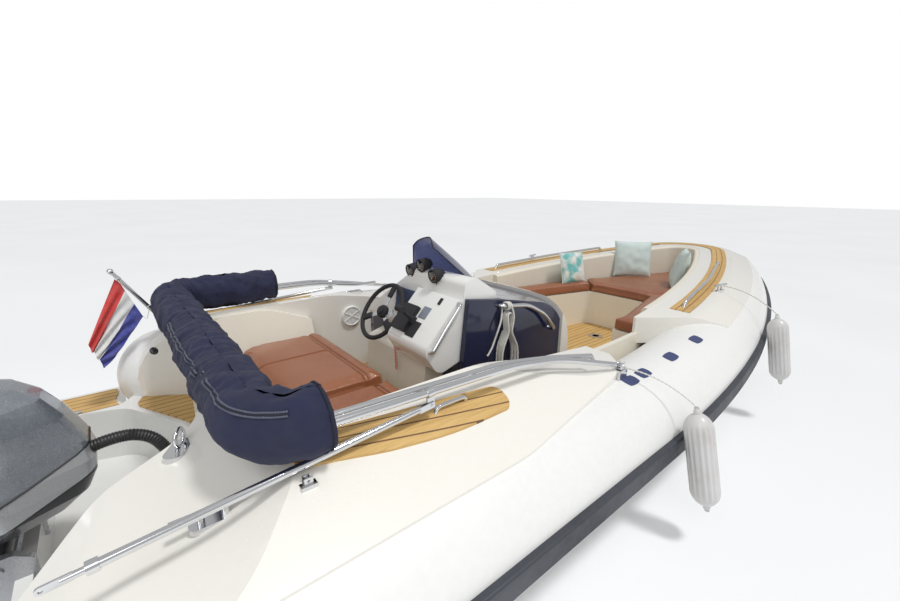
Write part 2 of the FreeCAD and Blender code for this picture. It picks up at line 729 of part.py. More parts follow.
def helm_fittings(shell, helm):
    """The rails, the throttle, the instruments and the plotter under its cover."""
    solid = [shell, helm]
    grab = grab_rail(RAIL_RADIUS)
    pod_rail = bent_tube([
        (1285, -HELM_HALF + 5, 985, 0), (1285, -HELM_HALF - 22, 985, 18), (1185, -HELM_HALF - 22, 870, 200),
        (1110, -HELM_HALF - 22, 775, 18), (1110, -HELM_HALF + 5, 775, 0),
    ], RAIL_RADIUS - 1)
    save(apart([grab.cut(shell), pod_rail.cut(helm)]), "console_rails")
    slope = math.degrees(math.atan2(1005 - 775, 1290 - 1075))
    block = box((-75, -60, -8), (75, 60, 26))
    lever = fused([rod((0, -75, 30), (0, -75, 120), 9), rod((0, -95, 120), (0, -45, 120), 16),
                   rod((0, -80, 12), (0, -50, 12), 20)])
    unit = fused([block, lever])
    unit.rotate(V(0, 0, 0), V(0, 1, 0), -slope)
    unit.translate(V(1165, POD_PORT - 70, 868))
    save(unit.cut(solid), "throttle_control")
    cover = box((-14, -120, -75), (6, 120, 75))
    cover.rotate(V(0, 0, 0), V(0, 1, 0), 7)
    cover.translate(V(1303, 20, 895))
    save(cover.cut(solid), "plotter_cover")
    dials = []
    for x, y, z in ((1318, 150, 1075), (1330, 20, 1085), (1318, -160, 1070)):
        dials.append(rod((x - 26, y, z - 12), (x + 32, y, z - 2), 38).cut(helm))
    save(apart(dials), "dash_instruments")
    plug = rod((1140, POD_PORT + FIT, 748), (1140, POD_PORT + 22, 748), 14)
    cord = fused([plug, rod((1140, POD_PORT + 12, 745), (1148, POD_PORT + 14, 545), 9)])
    save(cord, "kill_cord")


def engine_clamp():
    """The clamp bracket on the transom, with its tilt tube."""
    inside = TRANSOM_X + TRANSOM_THICK + FIT
    cheek = [
        (TRANSOM_X - FIT, -60), (TRANSOM_X - FIT, TRANSOM_TOP + FIT), (inside, TRANSOM_TOP + FIT),
        (inside, 180), (inside + 14, 180), (inside + 14, 310, 20), (PIVOT_X + 40, 345, 20),
        (PIVOT_X - 30, 345, 30), (PIVOT_X - 45, 100), (TRANSOM_X - 30, -60),
    ]
    cheeks = [side_prism(cheek, y, y + CHEEK) for y in (-CHEEK_OUT, CHEEK_OUT - CHEEK)]
    tube = rod((PIVOT_X, -CHEEK_OUT - 8, PIVOT_Z), (PIVOT_X, CHEEK_OUT + 8, PIVOT_Z), TILT_TUBE)
    plate = box((TRANSOM_X - 12, -CHEEK_OUT, -60), (TRANSOM_X - FIT, CHEEK_OUT, -10))
    save(fused(cheeks + [tube, plate]), "engine_clamp")


def engine():
    """The outboard engine: swivel, leg with gearcase, lower and upper cowl, and the propeller."""
    engine_clamp()
    half = CHEEK_OUT - CHEEK - 6
    head = side_prism([
        (PIVOT_X + 28, PIVOT_Z - 28, 20), (PIVOT_X + 28, PIVOT_Z + 28, 20), (PIVOT_X - 36, PIVOT_Z + 28, 20),
        (PIVOT_X - 36, PIVOT_Z - 50),
    ], -half, half)
    web = side_prism([
        (PIVOT_X, PIVOT_Z - 28), (PIVOT_X, PIVOT_Z + 28), (STEER_X, PIVOT_Z + 56), (STEER_X, -120), (STEER_X + 34, -120),
        (PIVOT_X - 26, 150, 60),
    ], -34, 34)
    swivel = fused([head, web, rod((STEER_X, 0, -120), (STEER_X, 0, PIVOT_Z + 60), 44)])
    hole = rod((PIVOT_X, -200, PIVOT_Z), (PIVOT_X, 200, PIVOT_Z), TILT_TUBE + PLAY)
    kingpin = rod((STEER_X, 0, -300), (STEER_X, 0, 500), KINGPIN + PLAY)
    save(swivel.cut([hole, kingpin]), "engine_swivel")
    pin = rod((STEER_X, 0, -160), (STEER_X, 0, COWL_LOW_Z), KINGPIN)
    # columns: z, front x, aft x, half width
    stations = [
        (COWL_LOW_Z, -612, -840, 110), (250, -622, -830, 80), (-100, -626, -800, 58), (-388, -614, -820, 40),
    ]
    wires = []
    for z, front, aft, wide in stations:
        ring = rounded_wire([
            (front, -wide, wide * 0.6), (front, wide, wide * 0.6), (aft, wide, wide * 0.6), (aft, -wide, wide * 0.6),
        ])
        ring.translate(V(0, 0, z))
        wires.append(ring)
    housing = Part.makeLoft(wires, True, True)
    arms = [box((STEER_X - 70, -60, z), (STEER_X + 32, 60, z + 28)) for z in (PIVOT_Z + 64, -156)]
    plate = prism([
        (-560, -30, 25), (-560, 30, 25), (-700, 120, 60), (-985, 95, 60), (-985, -95, 60), (-700, -120, 60),
    ], -400, -386)
    strut = prism([(-585, 0), (-640, 30, 60), (-780, 22, 60), (-822, 0), (-780, -22, 60), (-640, -30, 60)], PROP_Z, -395)
    case = turned([
        (-130, 46), (-60, GEARCASE_RADIUS, 100), (60, GEARCASE_RADIUS, 150), (135, 20, 18),
    ])
    case.translate(V(-705, 0, PROP_Z))
    skeg = side_prism([(-640, PROP_Z), (-655, PROP_Z - 120), (-765, SKEG_Z, 20), (-815, SKEG_Z, 20), (-815, PROP_Z)], -8, 8)
    shaft = rod((-700, 0, PROP_Z), (-925, 0, PROP_Z), PROP_SHAFT)
    save(fused([housing, pin, plate, strut, case, skeg, shaft] + arms), "engine_leg")
    propeller()
    return cowls()


def propeller():
    """Three blades on a tapered hub, on the gearcase's shaft."""
    hub = turned([(-938, 26, 10), (-915, 42, 30), (-836, 46)])
    blades = []
    for angle in (90, 210, 330):
        blade = prism([(-30, 20), (-62, 110, 70), (-20, PROP_RADIUS, 42), (50, 150, 48), (30, 20)], -4, 4)
        blade.rotate(V(0, 0, 0), V(0, 1, 0), 28)
        blade.rotate(V(0, 0, 0), V(1, 0, 0), angle)
        blade.translate(V(-880, 0, 0))
        blades.append(blade)
    bore = rod((-800, 0, 0), (-1000, 0, 0), PROP_SHAFT + PLAY)
    screw = fused([hub] + blades).cut(bore)
    screw.translate(V(0, 0, PROP_Z))
    save(screw, "propeller")


def cowls():
    """The silver lower cowl and the grey top cowl, parted on the sloping seam."""
    # columns: z, front x, half width of the nose, half width, aft x
    stations = [
        (COWL_LOW_Z, -235, 80, 165, -850), (450, -172, 92, 198, -885), (510, -144, 99, 211, -897),
        (570, COWL_FRONT_X, 99, COWL_HALF, COWL_AFT_X), (640, -155, 90, 208, -895), (740, -200, 80, 190, -880),
        (820, -250, 70, 160, -850), (870, -310, 60, 120, -810), (COWL_TOP_Z, -400, 40, 70, -740),
    ]
    wires = []
    for z, front, nose, wide, aft in stations:
        ring = rounded_wire([
            (front, -nose, nose * 0.8), (front, nose, nose * 0.8), (-390, wide, wide), (aft, wide * 0.8, wide * 0.5),
            (aft, -wide * 0.8, wide * 0.5), (-390, -wide, wide),
        ])
        ring.translate(V(0, 0, z))
        wires.append(ring)
    form = Part.makeLoft(wires, True, True)
    seam = [(-70, 647), (-960, 358), (-960, 200), (-70, 200)]
    below = side_prism(seam, -400, 400)
    lower = form.common(below)
    save(lower, "engine_lower_cowl")
    above = below.copy()
    above.translate(V(0, 0, FIT))
    upper = form.cut(above)
    save(upper, "engine_cowl")
    return [lower, upper]


def rigging(solids):
    """The ribbed rigging hose from the well's front wall to the engine."""
    fore = bend_for([
        (WELL_FRONT_X + 20, -122, 290), (125, -118, 335), (95, -112, 430), (70, -104, 520), (25, -92, 596),
        (-25, -80, 608),
    ])
    aft = bend_for([(-25.3, -79.93, 608.07), (-75, -68, 620), (COWL_FRONT_X - 60, -48, 580)])
    for name, route in (("rigging_hose_fore", fore), ("rigging_hose_aft", aft)):
        save(bent_tube(route, HOSE_RADIUS).cut(solids), name)


def frame_line(x, inward, drop):
    """A point on the straight after run of a bow of the folding top, to port."""
    share = (FRAME_MID_X - x) / (FRAME_MID_X - FRAME_AFT_X)
    y = FRAME_HALF + share * (FRAME_AFT_HALF - FRAME_HALF) - inward
    return V(x, y, FRAME_MID_Z + share * (FRAME_AFT_Z - FRAME_MID_Z) - drop)


def frame_bow(inward, drop, corner, tip):
    """One bow of the folding top as a tube from side to side round the stern."""
    mid = frame_line(FRAME_MID_X, inward, drop)
    aft = frame_line(FRAME_AFT_X + inward, inward, drop)
    side = [
        (FRAME_KNEE_X, FRAME_HALF - inward, FRAME_KNEE_Z - drop, 700), (mid.x, mid.y, mid.z, 1200),
        (aft.x, aft.y, aft.z, corner),
    ]
    star = [(x, -y, z, r) for x, y, z, r in side]
    ends = [(tip.x, -tip.y, tip.z, 0), (tip.x, tip.y, tip.z, 0)]
    return bent_tube(ends[:1] + star + side[::-1] + ends[1:], FRAME_TUBE)


def brace_place(row):
    """The pivot, the rest direction, the length and the placement of a brace: X along it, Y along its pin."""
    side, name, pivot_x, foot_x, foot_y, foot_z = row[:6]
    seat = frame_line(pivot_x, 0, 0)
    if pivot_x > FRAME_MID_X:
        share = (pivot_x - FRAME_MID_X) / (FRAME_KNEE_X - FRAME_MID_X)
        seat = V(pivot_x, FRAME_HALF, FRAME_MID_Z + share * (FRAME_KNEE_Z - FRAME_MID_Z))
    pivot = V(seat.x, side * seat.y, seat.z - BRACE_DROP)
    rest = V(foot_x, side * foot_y, foot_z) - pivot
    goal = V(BRACKET_X, side * BRACKET_Y, BRACKET_Z + 28)
    hinge = V(HINGE_X, 0, HINGE_Z)
    folded = hinge + FreeCAD.Rotation(V(0, 1, 0), -FOLD_ANGLE).multVec(goal - hinge)
    pin = rest.cross(folded - pivot).normalize()
    turn = FreeCAD.Rotation(rest, pin, V(0, 0, 1), "XYZ")
    return pivot, rest, rest.Length, FreeCAD.Placement(pivot, turn)


def folding_frame():
    """The two stowed bows of the folding top with their slides, and the padded boot round them."""
    hinge = V(HINGE_X, HINGE_Y, HINGE_Z)
    way = (V(FRAME_KNEE_X, FRAME_HALF, FRAME_KNEE_Z) - hinge).normalize()
    second_tip = V(1620, 975, 800)
    parts = [frame_bow(0, 0, 150, hinge + way * 36), frame_bow(SECOND_IN, SECOND_DROP, 110, second_tip)]
    holes = []
    for side in (-1, 1):
        eye = rod((HINGE_X, side * HINGE_Y - 8, HINGE_Z), (HINGE_X, side * HINGE_Y + 8, HINGE_Z), 13)
        blade = box((-2, -2.4, -9), (48, 2.4, 9))
        low = hinge + way * 165
        parts.append(rod((second_tip.x, side * second_tip.y, second_tip.z), (low.x, side * low.y, low.z), 9))
        parts += [eye, aimed(blade, (HINGE_X, side * HINGE_Y, HINGE_Z), (way.x, side * way.y, way.z))]
        outer = frame_line(950, 0, 0)
        inner = frame_line(950, SECOND_IN, SECOND_DROP)
        parts.append(rod((outer.x, side * outer.y, outer.z), (inner.x, side * inner.y, inner.z), 8))
        holes.append(rod((HINGE_X, side * HINGE_Y - 20, HINGE_Z), (HINGE_X, side * HINGE_Y + 20, HINGE_Z),
                         HINGE_PIN + PLAY))
    for row in BRACES:
        place = brace_place(row)[3]
        plate = box((-14, -3, -12), (14, 3, BRACE_DROP))
        jaw = rod((-14, 0, BRACE_DROP), (14, 0, BRACE_DROP), FRAME_TUBE + 3.5)
        pin = rod((0, -14, 0), (0, 14, 0), BRACE_PIN)
        for piece in (plate, jaw, pin):
            piece.Placement = place
            parts.append(piece)
    frame = fused(parts).cut(holes)
    save(frame, "bimini_frame")
    save(boot(), "bimini_boot")


def boot():
    """The padded cover round the stowed bows, open underneath along the braces."""
    ends = {side: BRACES[0 if side < 0 else 1][7] for side in (-1, 1)}
    tubes = []
    for radius, back in ((BOOT_RADIUS, 0), (BOOT_HOLLOW, 30)):
        route = [
            (ends[-1] - back, -BOOT_HALF, BOOT_Z, 0), (BOOT_X, -BOOT_HALF, BOOT_Z, 130),
            (BOOT_X, BOOT_HALF, BOOT_Z, 130), (ends[1] - back, BOOT_HALF, BOOT_Z, 0),
        ]
        tubes.append(bent_tube(route, radius))
    cuts = [tubes[1]]
    for side in (-1, 1):
        for inward, drop in ((0, 0), (SECOND_IN, SECOND_DROP)):
            near = frame_line(ends[side] + 30, inward, drop)
            far = frame_line(ends[side] - 45, inward, drop)
            cuts.append(rod((near.x, side * near.y, near.z), (far.x, side * far.y, far.z), FRAME_TUBE + FIT))
    for row in BRACES:
        place = brace_place(row)[3]
        groove = fused([rod((200, 0, 0), (900, 0, 0), BRACE_TUBE + 8), box((200, -19, -150), (900, 19, 0))])
        groove.Placement = place
        cuts.append(groove)
    return tubes[0].cut(cuts)


def braces():
    """The two telescopic braces, stowed along the side decks: an outer tube and a sliding foot each."""
    for row in BRACES:
        pivot, rest, length, place = brace_place(row)
        split = length - row[6]
        fork = [box((-10, y, -10), (48, y + 5, 10)) for y in (-8.4, 3.4)]
        root = box((36, -8.4, -10), (50, 8.4, 10))
        tube = rod((46, 0, 0), (split, 0, 0), BRACE_TUBE)
        ring = rod((split - 22, 0, 0), (split, 0, 0), BRACE_TUBE + 4)
        bore = rod((split - BRACE_REACH - 70, 0, 0), (split + 1, 0, 0), BRACE_ROD + PLAY)
        eye = rod((0, -20, 0), (0, 20, 0), BRACE_PIN + PLAY)
        outer = fused(fork + [root, tube, ring]).cut([bore, eye])
        slim = rod((split - BRACE_REACH - 60, 0, 0), (length - 30, 0, 0), BRACE_ROD)
        blade = [box((length - 50, -3, -9), (length, 3, 9)), rod((length, -3, 0), (length, 3, 0), 9)]
        inner = fused([slim] + blade).cut(rod((length, -9, 0), (length, 9, 0), 4.2))
        for piece, name in ((outer, row[1] + "_brace"), (inner, row[1] + "_brace_foot")):
            piece.Placement = place
            save(piece, name)


def horn_cleat(length):
    """A horn cleat along X on a flat base at Z 0."""
    base = prism([
        (-0.3 * length, -17, 15), (0.3 * length, -17, 15), (0.3 * length, 17, 15), (-0.3 * length, 17, 15),
    ], -12, 6)
    posts = [rod((x, 0, 4), (x, 0, 36), 9) for x in (-0.15 * length, 0.15 * length)]
    horn = rod((-length / 2, 0, 40), (length / 2, 0, 40), 9)
    return fused([base, horn] + posts)


def placed(shape, x, y, z, turn=0.0, roll=0.0):
    """A shape turned about Z, leaned about X and moved."""
    shape.rotate(V(0, 0, 0), V(1, 0, 0), roll)
    shape.rotate(V(0, 0, 0), V(0, 0, 1), turn)
    shape.translate(V(x, y, z))
    return shape


def deck_pieces(deck, bow_top, teak):
    """The hinges and brackets of the folding top, the cleats, the fairlead and the rails."""
    under = [deck, bow_top, teak]
    mounts = []
    lead = prism([(-60, -30, 28), (60, -30, 28), (60, 30, 28), (-60, 30, 28)], -20, 8)
    ring = Part.makeTorus(30, 7, V(20, 0, 34), V(0, 1, 0))
    cleats = [
        placed(horn_cleat(190), 110, -850, 690, 0, 12), placed(horn_cleat(150), -300, 850, PLATFORM_Z + TEAK + 12),
        placed(fused([lead, ring]), 85, -430, 680, 60),
    ]
    rails = []
    for side in (-1, 1):
        y = side * HINGE_Y
        ears = [box((HINGE_X - 16, y + low, 680), (HINGE_X + 16, y + low + 6, HINGE_Z + 14)) for low in (-14.4, 8.4)]
        foot = box((HINGE_X - 30, y - 20, 680), (HINGE_X + 30, y + 20, HINGE_Z - 18))
        pin = rod((HINGE_X, y - 18, HINGE_Z), (HINGE_X, y + 18, HINGE_Z), HINGE_PIN)
        mounts.append(fused(ears + [foot, pin]).cut(under))
        y = side * BRACKET_Y
        ears = [box((BRACKET_X - 12, y + low, 700), (BRACKET_X + 12, y + low + 4, BRACKET_Z + 10)) for low in (-10, 6)]
        foot = box((BRACKET_X - 22, y - 16, 700), (BRACKET_X + 22, y + 16, BRACKET_Z - 10))
        hole = rod((BRACKET_X, y - 20, BRACKET_Z), (BRACKET_X, y + 20, BRACKET_Z), 4.2)
        mounts.append(fused(ears + [foot]).cut(under + [hole]))
        loop = bent_tube([(-85, 0, -40, 0), (-62, 0, 26, 22), (62, 0, 26, 22), (85, 0, -40, 0)], 8)
        cleats.append(placed(loop, 850 if side < 0 else 1400, side * 915, 780 if side < 0 else 745))
        cleats.append(placed(horn_cleat(130), 3430, side * 880, 826, side * 12))
        points = []
        for angle, high, bend in ((6, -25, 0), (6.3, 34, 22), (11.5, 36, 2500), (16.7, 34, 22), (17, -25, 0)):
            turn = math.radians(angle)
            reach = LONG_RADIUS - BOW_RAIL_INSET
            x = BEND_X + reach * math.sin(turn)
            y = reach * math.cos(turn) - (LONG_RADIUS - TUBE_SPREAD)
            points.append((x, side * y, 724 + high, bend))
        rails.append(to_sheer(bent_tube(points, RAIL_RADIUS)).cut(under))
    cleats = [cleat.cut(under) for cleat in cleats]
    save(apart(mounts), "frame_hinges")
    save(apart(cleats), "deck_cleats")
    save(apart(rails), "bow_rails")
    return mounts + cleats


def side_teak(deck):
    """The teak strips on the side decks."""
    layer = deck.copy()
    layer.translate(V(0, 0, TEAK))
    strips = []
    for side in (-1, 1):
        plan = [
            (310, side * 800), (700, side * 852, 1500), (1085, side * 900, 45), (1085, side * 1000, 45),
            (800, side * 1000, 1500), (560, side * 968, 1000), (310, side * 912),
        ]
        strips.append(layer.common(prism(plan, 600, 900)).cut(deck))
    return strips


def stern_teak(solids):
    """The teak on the boarding platforms and on the walkway."""
    pads = []
    for side in (-1, 1):
        plan = [
            (PLATFORM_AFT_X + 45, side * 835, 30), (PLATFORM_AFT_X + 45, side * 1210, 110),
            (-70, side * 1210, 20), (-70, side * 835, 20),
        ]
        round_tail = Part.makeCylinder(TUBE_RADIUS + 25, 400, V(TAIL_X, side * TUBE_SPREAD, PLATFORM_Z - 50))
        pads.append(prism(plan, PLATFORM_Z, PLATFORM_Z + TEAK).cut([round_tail] + solids))
    plan = [
        (WELL_FRONT_X + 18, -200), (WELL_FRONT_X + 18, 342, 270), (0, 730, 100), (40, 820), (BULKHEAD_X - 12, 668, 60),
        (BULKHEAD_X - 12, -200),
    ]
    pads.append(prism(plan, WALKWAY_Z, WALKWAY_Z + TEAK).cut(solids))
    return apart(pads)


def speakers():
    """The two round speakers in the cockpit sides."""
    pieces = []
    for side in (-1, 1):
        wall = side * (COCKPIT_HALF - FIT)
        pieces.append(rod((SPEAKER_X, wall, SPEAKER_Z), (SPEAKER_X, wall - side * 14, SPEAKER_Z), SPEAKER_RADIUS))
    save(apart(pieces), "speakers")


def flagstaff(deck):
    """The flagstaff in its socket outside the port bulkhead, with the flag hanging from it."""
    foot = V(270, STAFF_Y, 665)
    tip = V(4, STAFF_Y, 1082)
    way = (tip - foot).normalize()
    staff = fused([
        Part.makeCylinder(11, (tip - foot).Length, foot, way),
        Part.makeSphere(16, tip),
        Part.makeCylinder(16, 90, foot - way * 5, way),
        rod((255, STAFF_Y, 690), (255, STAFF_Y - 40, 690), 13),
    ])
    save(staff.cut(deck), "flagstaff")
    hung = side_prism([
        (22, 1052), (109, 815), (-40, 657), (-49, 605), (-99, 562), (-122, 597), (-97, 664), (-145, 695),
    ], STAFF_Y - 10, STAFF_Y + 10)
    save(hung.cut(Part.makeCylinder(11 + FIT, 900, foot, way)), "flag")


def fenders(fixed):
    """The two hanging fenders and their lines."""
    bodies = []
    lines = []
    # columns: top eye, bottom eye, where the line is made fast
    rows = [
        ((1868, -1350, 622), (1868, -1460, 165), (1786, -1058, 726)),
        ((3400, -1248, 735), (3400, -1346, 270), (3427, -886, 864)),
    ]
    for top, low, start in rows:
        length = (V(*low) - V(*top)).Length
        shape = turned([
            (0, 16, 6), (36, 22, 10), (60, FENDER_RADIUS, 45), (length - 60, FENDER_RADIUS, 45),
            (length - 30, 22, 10), (length, 16, 6),
        ])
        bodies.append(aimed(shape, top, V(*low) - V(*top)))
        lines.append(rod(start, V(*top) + V(0, 0, 2), LINE_RADIUS))
    save(apart(bodies), "fenders")
    save(apart([line.cut(bodies + fixed) for line in lines]), "fender_lines")


def console_rope():
    """The rope hung on the console rail: its hank and the loose tail."""
    hank = side_prism([
        (1556, 962, 8), (1598, 958, 8), (1590, 800, 40), (1655, 700, 60), (1648, 480, 60), (1522, 470, 60),
        (1512, 700, 60), (1560, 800, 40),
    ], -CONSOLE_HALF - 60, -CONSOLE_HALF - 6).cut(grab_rail(RAIL_RADIUS + FIT))
    save(hank, "console_rope")
    tail = bend_for([
        (1575, -500, 900), (1530, -504, 870), (1502, -506, 820), (1488, -497, 765), (1464, -501, 722), (1442, -495, 690),
    ])
    save(bent_tube(tail, ROPE_RADIUS).cut(hank), "console_rope_tail")


def pillow(size, thick, centre, turn, lean):
    """A square throw pillow leaning on the backrest."""
    half = size / 2
    shape = long_prism([(-half, -half, 40), (half, -half, 40), (half, half, 40), (-half, half, 40)], -thick / 2, thick / 2)
    shape.rotate(V(0, 0, 0), V(0, 1, 0), lean)
    shape.rotate(V(0, 0, 0), V(0, 0, 1), turn)
    shape.translate(V(*centre))
    return shape


def pillows(solids):
    """The three throw pillows, pressed against the seat and its backrest."""
    # columns: size, thickness, centre, turn about Z, lean
    rows = [
        (300, 90, (3490, 425, 798), 80, 14), (370, 110, (4290, 240, 832), 40, 14),
        (370, 110, (4140, -300, 828), -64, 16),
    ]
    save(apart([pillow(*row).cut(solids) for row in rows]), "throw_pillows")


def main():
    """Builds every sub-part and writes it."""
    tubes, bottom = collar_parts()
    deck = stern_deck(tubes)
    save(deck, "stern_deck")
    low = low_deck(tubes, bottom, deck)
    save(low, "splash_well")
    for side, name in ((1, "port_platform"), (-1, "starboard_platform")):
        save(platform(side, tubes + [bottom, deck, low]), name)
    save(sole(), "cockpit_sole")
    aft_seat()
    bow_top, bow_step, soft = bow_seat(tubes)
    save(cockpit_liner(tubes + [bottom, deck, low, bow_top]), "cockpit_liner")
    strips = apart(side_teak(deck) + [bow_step])
    save(strips, "deck_teak")
    pads = stern_teak(tubes + [deck, low])
    save(pads, "stern_teak")
    table_socket()
    shell, helm = console()
    steering_wheel()
    helm_fittings(shell, helm)
    rigging(engine() + [deck, low])
    folding_frame()
    braces()
    fittings = deck_pieces(deck, bow_top, strips)
    speakers()
    flagstaff(deck)
    fenders(fittings)
    console_rope()
    pillows(soft)


main()
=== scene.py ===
"""Visual model of an open inflatable rib boat: studio, finishes, soft goods, rigging and trim round the CAD frame."""
import json
import logging
import math
from bisect import bisect_right
from dataclasses import dataclass
from enum import Enum
from typing import Callable, Iterable, Sequence

import bpy
from mathutils import Matrix, Vector, noise

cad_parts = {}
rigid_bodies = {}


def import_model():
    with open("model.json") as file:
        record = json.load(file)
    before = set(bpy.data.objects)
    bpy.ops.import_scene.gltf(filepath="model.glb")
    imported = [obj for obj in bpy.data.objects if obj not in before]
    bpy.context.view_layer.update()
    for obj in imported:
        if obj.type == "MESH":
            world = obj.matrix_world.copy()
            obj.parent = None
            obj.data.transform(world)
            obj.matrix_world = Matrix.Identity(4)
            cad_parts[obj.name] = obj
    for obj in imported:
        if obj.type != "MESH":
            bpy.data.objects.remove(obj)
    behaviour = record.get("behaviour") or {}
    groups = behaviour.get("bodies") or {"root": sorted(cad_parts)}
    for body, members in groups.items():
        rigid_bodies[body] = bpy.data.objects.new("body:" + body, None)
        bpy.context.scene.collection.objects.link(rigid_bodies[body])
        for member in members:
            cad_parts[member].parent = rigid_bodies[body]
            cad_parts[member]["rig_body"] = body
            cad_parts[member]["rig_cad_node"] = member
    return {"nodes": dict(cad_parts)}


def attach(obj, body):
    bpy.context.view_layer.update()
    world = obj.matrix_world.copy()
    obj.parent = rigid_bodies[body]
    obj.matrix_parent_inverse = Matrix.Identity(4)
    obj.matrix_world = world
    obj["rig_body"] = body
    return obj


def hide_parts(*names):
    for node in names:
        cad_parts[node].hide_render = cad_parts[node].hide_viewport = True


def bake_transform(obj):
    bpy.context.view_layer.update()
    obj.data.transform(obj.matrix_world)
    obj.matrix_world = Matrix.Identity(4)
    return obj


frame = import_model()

LOG = logging.getLogger("rib_boat")
RAY_HEIGHT = 3.0
THREAD = 0.0013
UP = Vector((0, 0, 1))
PORT = Vector((0, 1, 0))
Colour = tuple[float, float, float]
Point = tuple[float, float, float]
Line = Sequence[Sequence[float]]
Piece = bpy.types.Object
Socket = bpy.types.NodeSocket

# The bow deck's edge: two long arcs that run into a small arc round the stem, in metres.
LONG_ARC_CENTRE, LONG_ARC_RADIUS = (2.1, -6.555, 0), 7.595
STEM_CENTRE, STEM_RADIUS = (4.815, 0, 0), 0.5
STEM_SPREAD = 0.4142
# The slanted joint between the engine's upper and lower cowl: Z = height + (X + offset) * slope.
JOINT_HEIGHT, JOINT_OFFSET, JOINT_SLOPE = 0.647, 0.07, 0.3247


# ---------------------------------------------------------------- modelling bench


def deselect() -> None:
    """Leaves object mode with nothing selected."""
    if bpy.context.object is not None and bpy.context.object.mode != "OBJECT":
        bpy.ops.object.mode_set(mode="OBJECT")
    bpy.ops.object.select_all(action="DESELECT")


def take(*pieces: Piece) -> Piece:
    """Selects pieces and makes the first one active.

    Args:
        pieces: The pieces to select.

    Returns:
        The active piece.
    """
    deselect()
    for piece in pieces:
        piece.select_set(True)
    bpy.context.view_layer.objects.active = pieces[0]
    return pieces[0]


def apply_modifier(piece: Piece, kind: str, **settings: object) -> Piece:
    """Adds one modifier and applies it.

    Args:
        piece: The piece that is changed.
        kind: Blender's name of the modifier type.
        settings: The modifier's values.

    Returns:
        The same piece.
    """
    take(piece)
    modifier = piece.modifiers.new(kind.title(), kind)
    for key, value in settings.items():
        setattr(modifier, key, value)
    bpy.ops.object.modifier_apply(modifier=modifier.name)
    return piece


def within(value: float) -> float:
    """The value, held from 0 to 1."""
    return min(max(value, 0), 1)


def standing(place: Vector, across: Vector, along: Vector, up: Vector) -> Matrix:
    """The transform that stands a piece's X, Y and Z on three directions at a place."""
    return Matrix.Translation(place) @ Matrix((across, along, up)).transposed().to_4x4()


def settle(piece: Piece) -> Piece:
    """Puts the piece's place into its mesh, so that its object sits at the origin.

    Args:
        piece: The piece.

    Returns:
        The same piece.
    """
    take(piece)
    bpy.ops.object.transform_apply(location=True, rotation=True, scale=True)
    return piece


def clean(piece: Piece, gap: float = 1e-5) -> Piece:
    """Merges doubles and turns the faces outwards.

    Args:
        piece: A closed or open mesh.
        gap: The widest gap that is merged, in metres.

    Returns:
        The same piece.
    """
    take(piece)
    bpy.ops.object.mode_set(mode="EDIT")
    bpy.ops.mesh.select_all(action="SELECT")
    bpy.ops.mesh.remove_doubles(threshold=gap)
    bpy.ops.mesh.normals_make_consistent(inside=False)
    bpy.ops.object.mode_set(mode="OBJECT")
    return piece


def joined(pieces: Sequence[Piece]) -> Piece:
    """Joins pieces into the first one.

    Args:
        pieces: The pieces.

    Returns:
        The first piece, which holds all of them.
    """
    take(*pieces)
    bpy.ops.object.join()
    return pieces[0]


def facing(direction: Sequence[float]) -> tuple[float, float, float]:
    """The turn that lays a primitive's Z axis along a direction."""
    return tuple(Vector(direction).to_track_quat("Z", "Y").to_euler())


def block(low: Sequence[float], high: Sequence[float], round_by: float = 0.0) -> Piece:
    """A block with rounded edges between two corners.

    Args:
        low: The lowest corner.
        high: The highest corner.
        round_by: The radius of its edges.

    Returns:
        The block.
    """
    low, high = Vector(low), Vector(high)
    bpy.ops.mesh.primitive_cube_add(size=1, location=(low + high) / 2)
    piece = bpy.context.object
    piece.scale = high - low
    settle(piece)
    if round_by:
        apply_modifier(piece, "BEVEL", width=round_by, segments=3)
    return piece


def drum(centre: Sequence[float], axis: Sequence[float], radius: float, depth: float,
         round_by: float = 0.0, sides: int = 40) -> Piece:
    """A round piece with softened rims.

    Args:
        centre: Its middle.
        axis: The direction of its axis.
        radius: Its radius.
        depth: Its length along the axis.
        round_by: The radius of its rims.
        sides: The number of sides.

    Returns:
        The drum.
    """
    bpy.ops.mesh.primitive_cylinder_add(vertices=sides, radius=radius, depth=depth, location=centre,
                                        rotation=facing(axis))
    piece = settle(bpy.context.object)
    if round_by:
        apply_modifier(piece, "BEVEL", width=round_by, segments=2, limit_method="ANGLE")
    return piece


def hoop(centre: Sequence[float], axis: Sequence[float], major: float, minor: float, steps: int = 64) -> Piece:
    """A torus round an axis.

    Args:
        centre: Its middle.
        axis: The direction of its axis.
        major: The radius of its centreline.
        minor: The radius of its section.
        steps: The segments round the axis.

    Returns:
        The torus.
    """
    bpy.ops.mesh.primitive_torus_add(location=centre, rotation=facing(axis), major_radius=major, minor_radius=minor,
                                     major_segments=steps, minor_segments=12)
    return settle(bpy.context.object)


def draped(along: int, across: int, place: Callable[[float, float], Vector]) -> Piece:
    """A grid that is laid over a surface.

    Args:
        along: Faces along the first direction.
        across: Faces along the second direction.
        place: Gives the point for two shares from 0 to 1.

    Returns:
        The surface as a mesh with its grid's UV map.
    """
    bpy.ops.mesh.primitive_grid_add(x_subdivisions=along, y_subdivisions=across, size=1, calc_uvs=True)
    piece = bpy.context.object
    for vertex in piece.data.vertices:
        vertex.co = place(within(vertex.co.x + 0.5), within(vertex.co.y + 0.5))
    return piece


def wrapped(along: int, around: int, place: Callable[[float, float], Vector], gap: float = 1e-5) -> Piece:
    """A draped grid that is closed where its edges meet, with gaps up to the given one merged."""
    return clean(draped(along, around, place), gap)


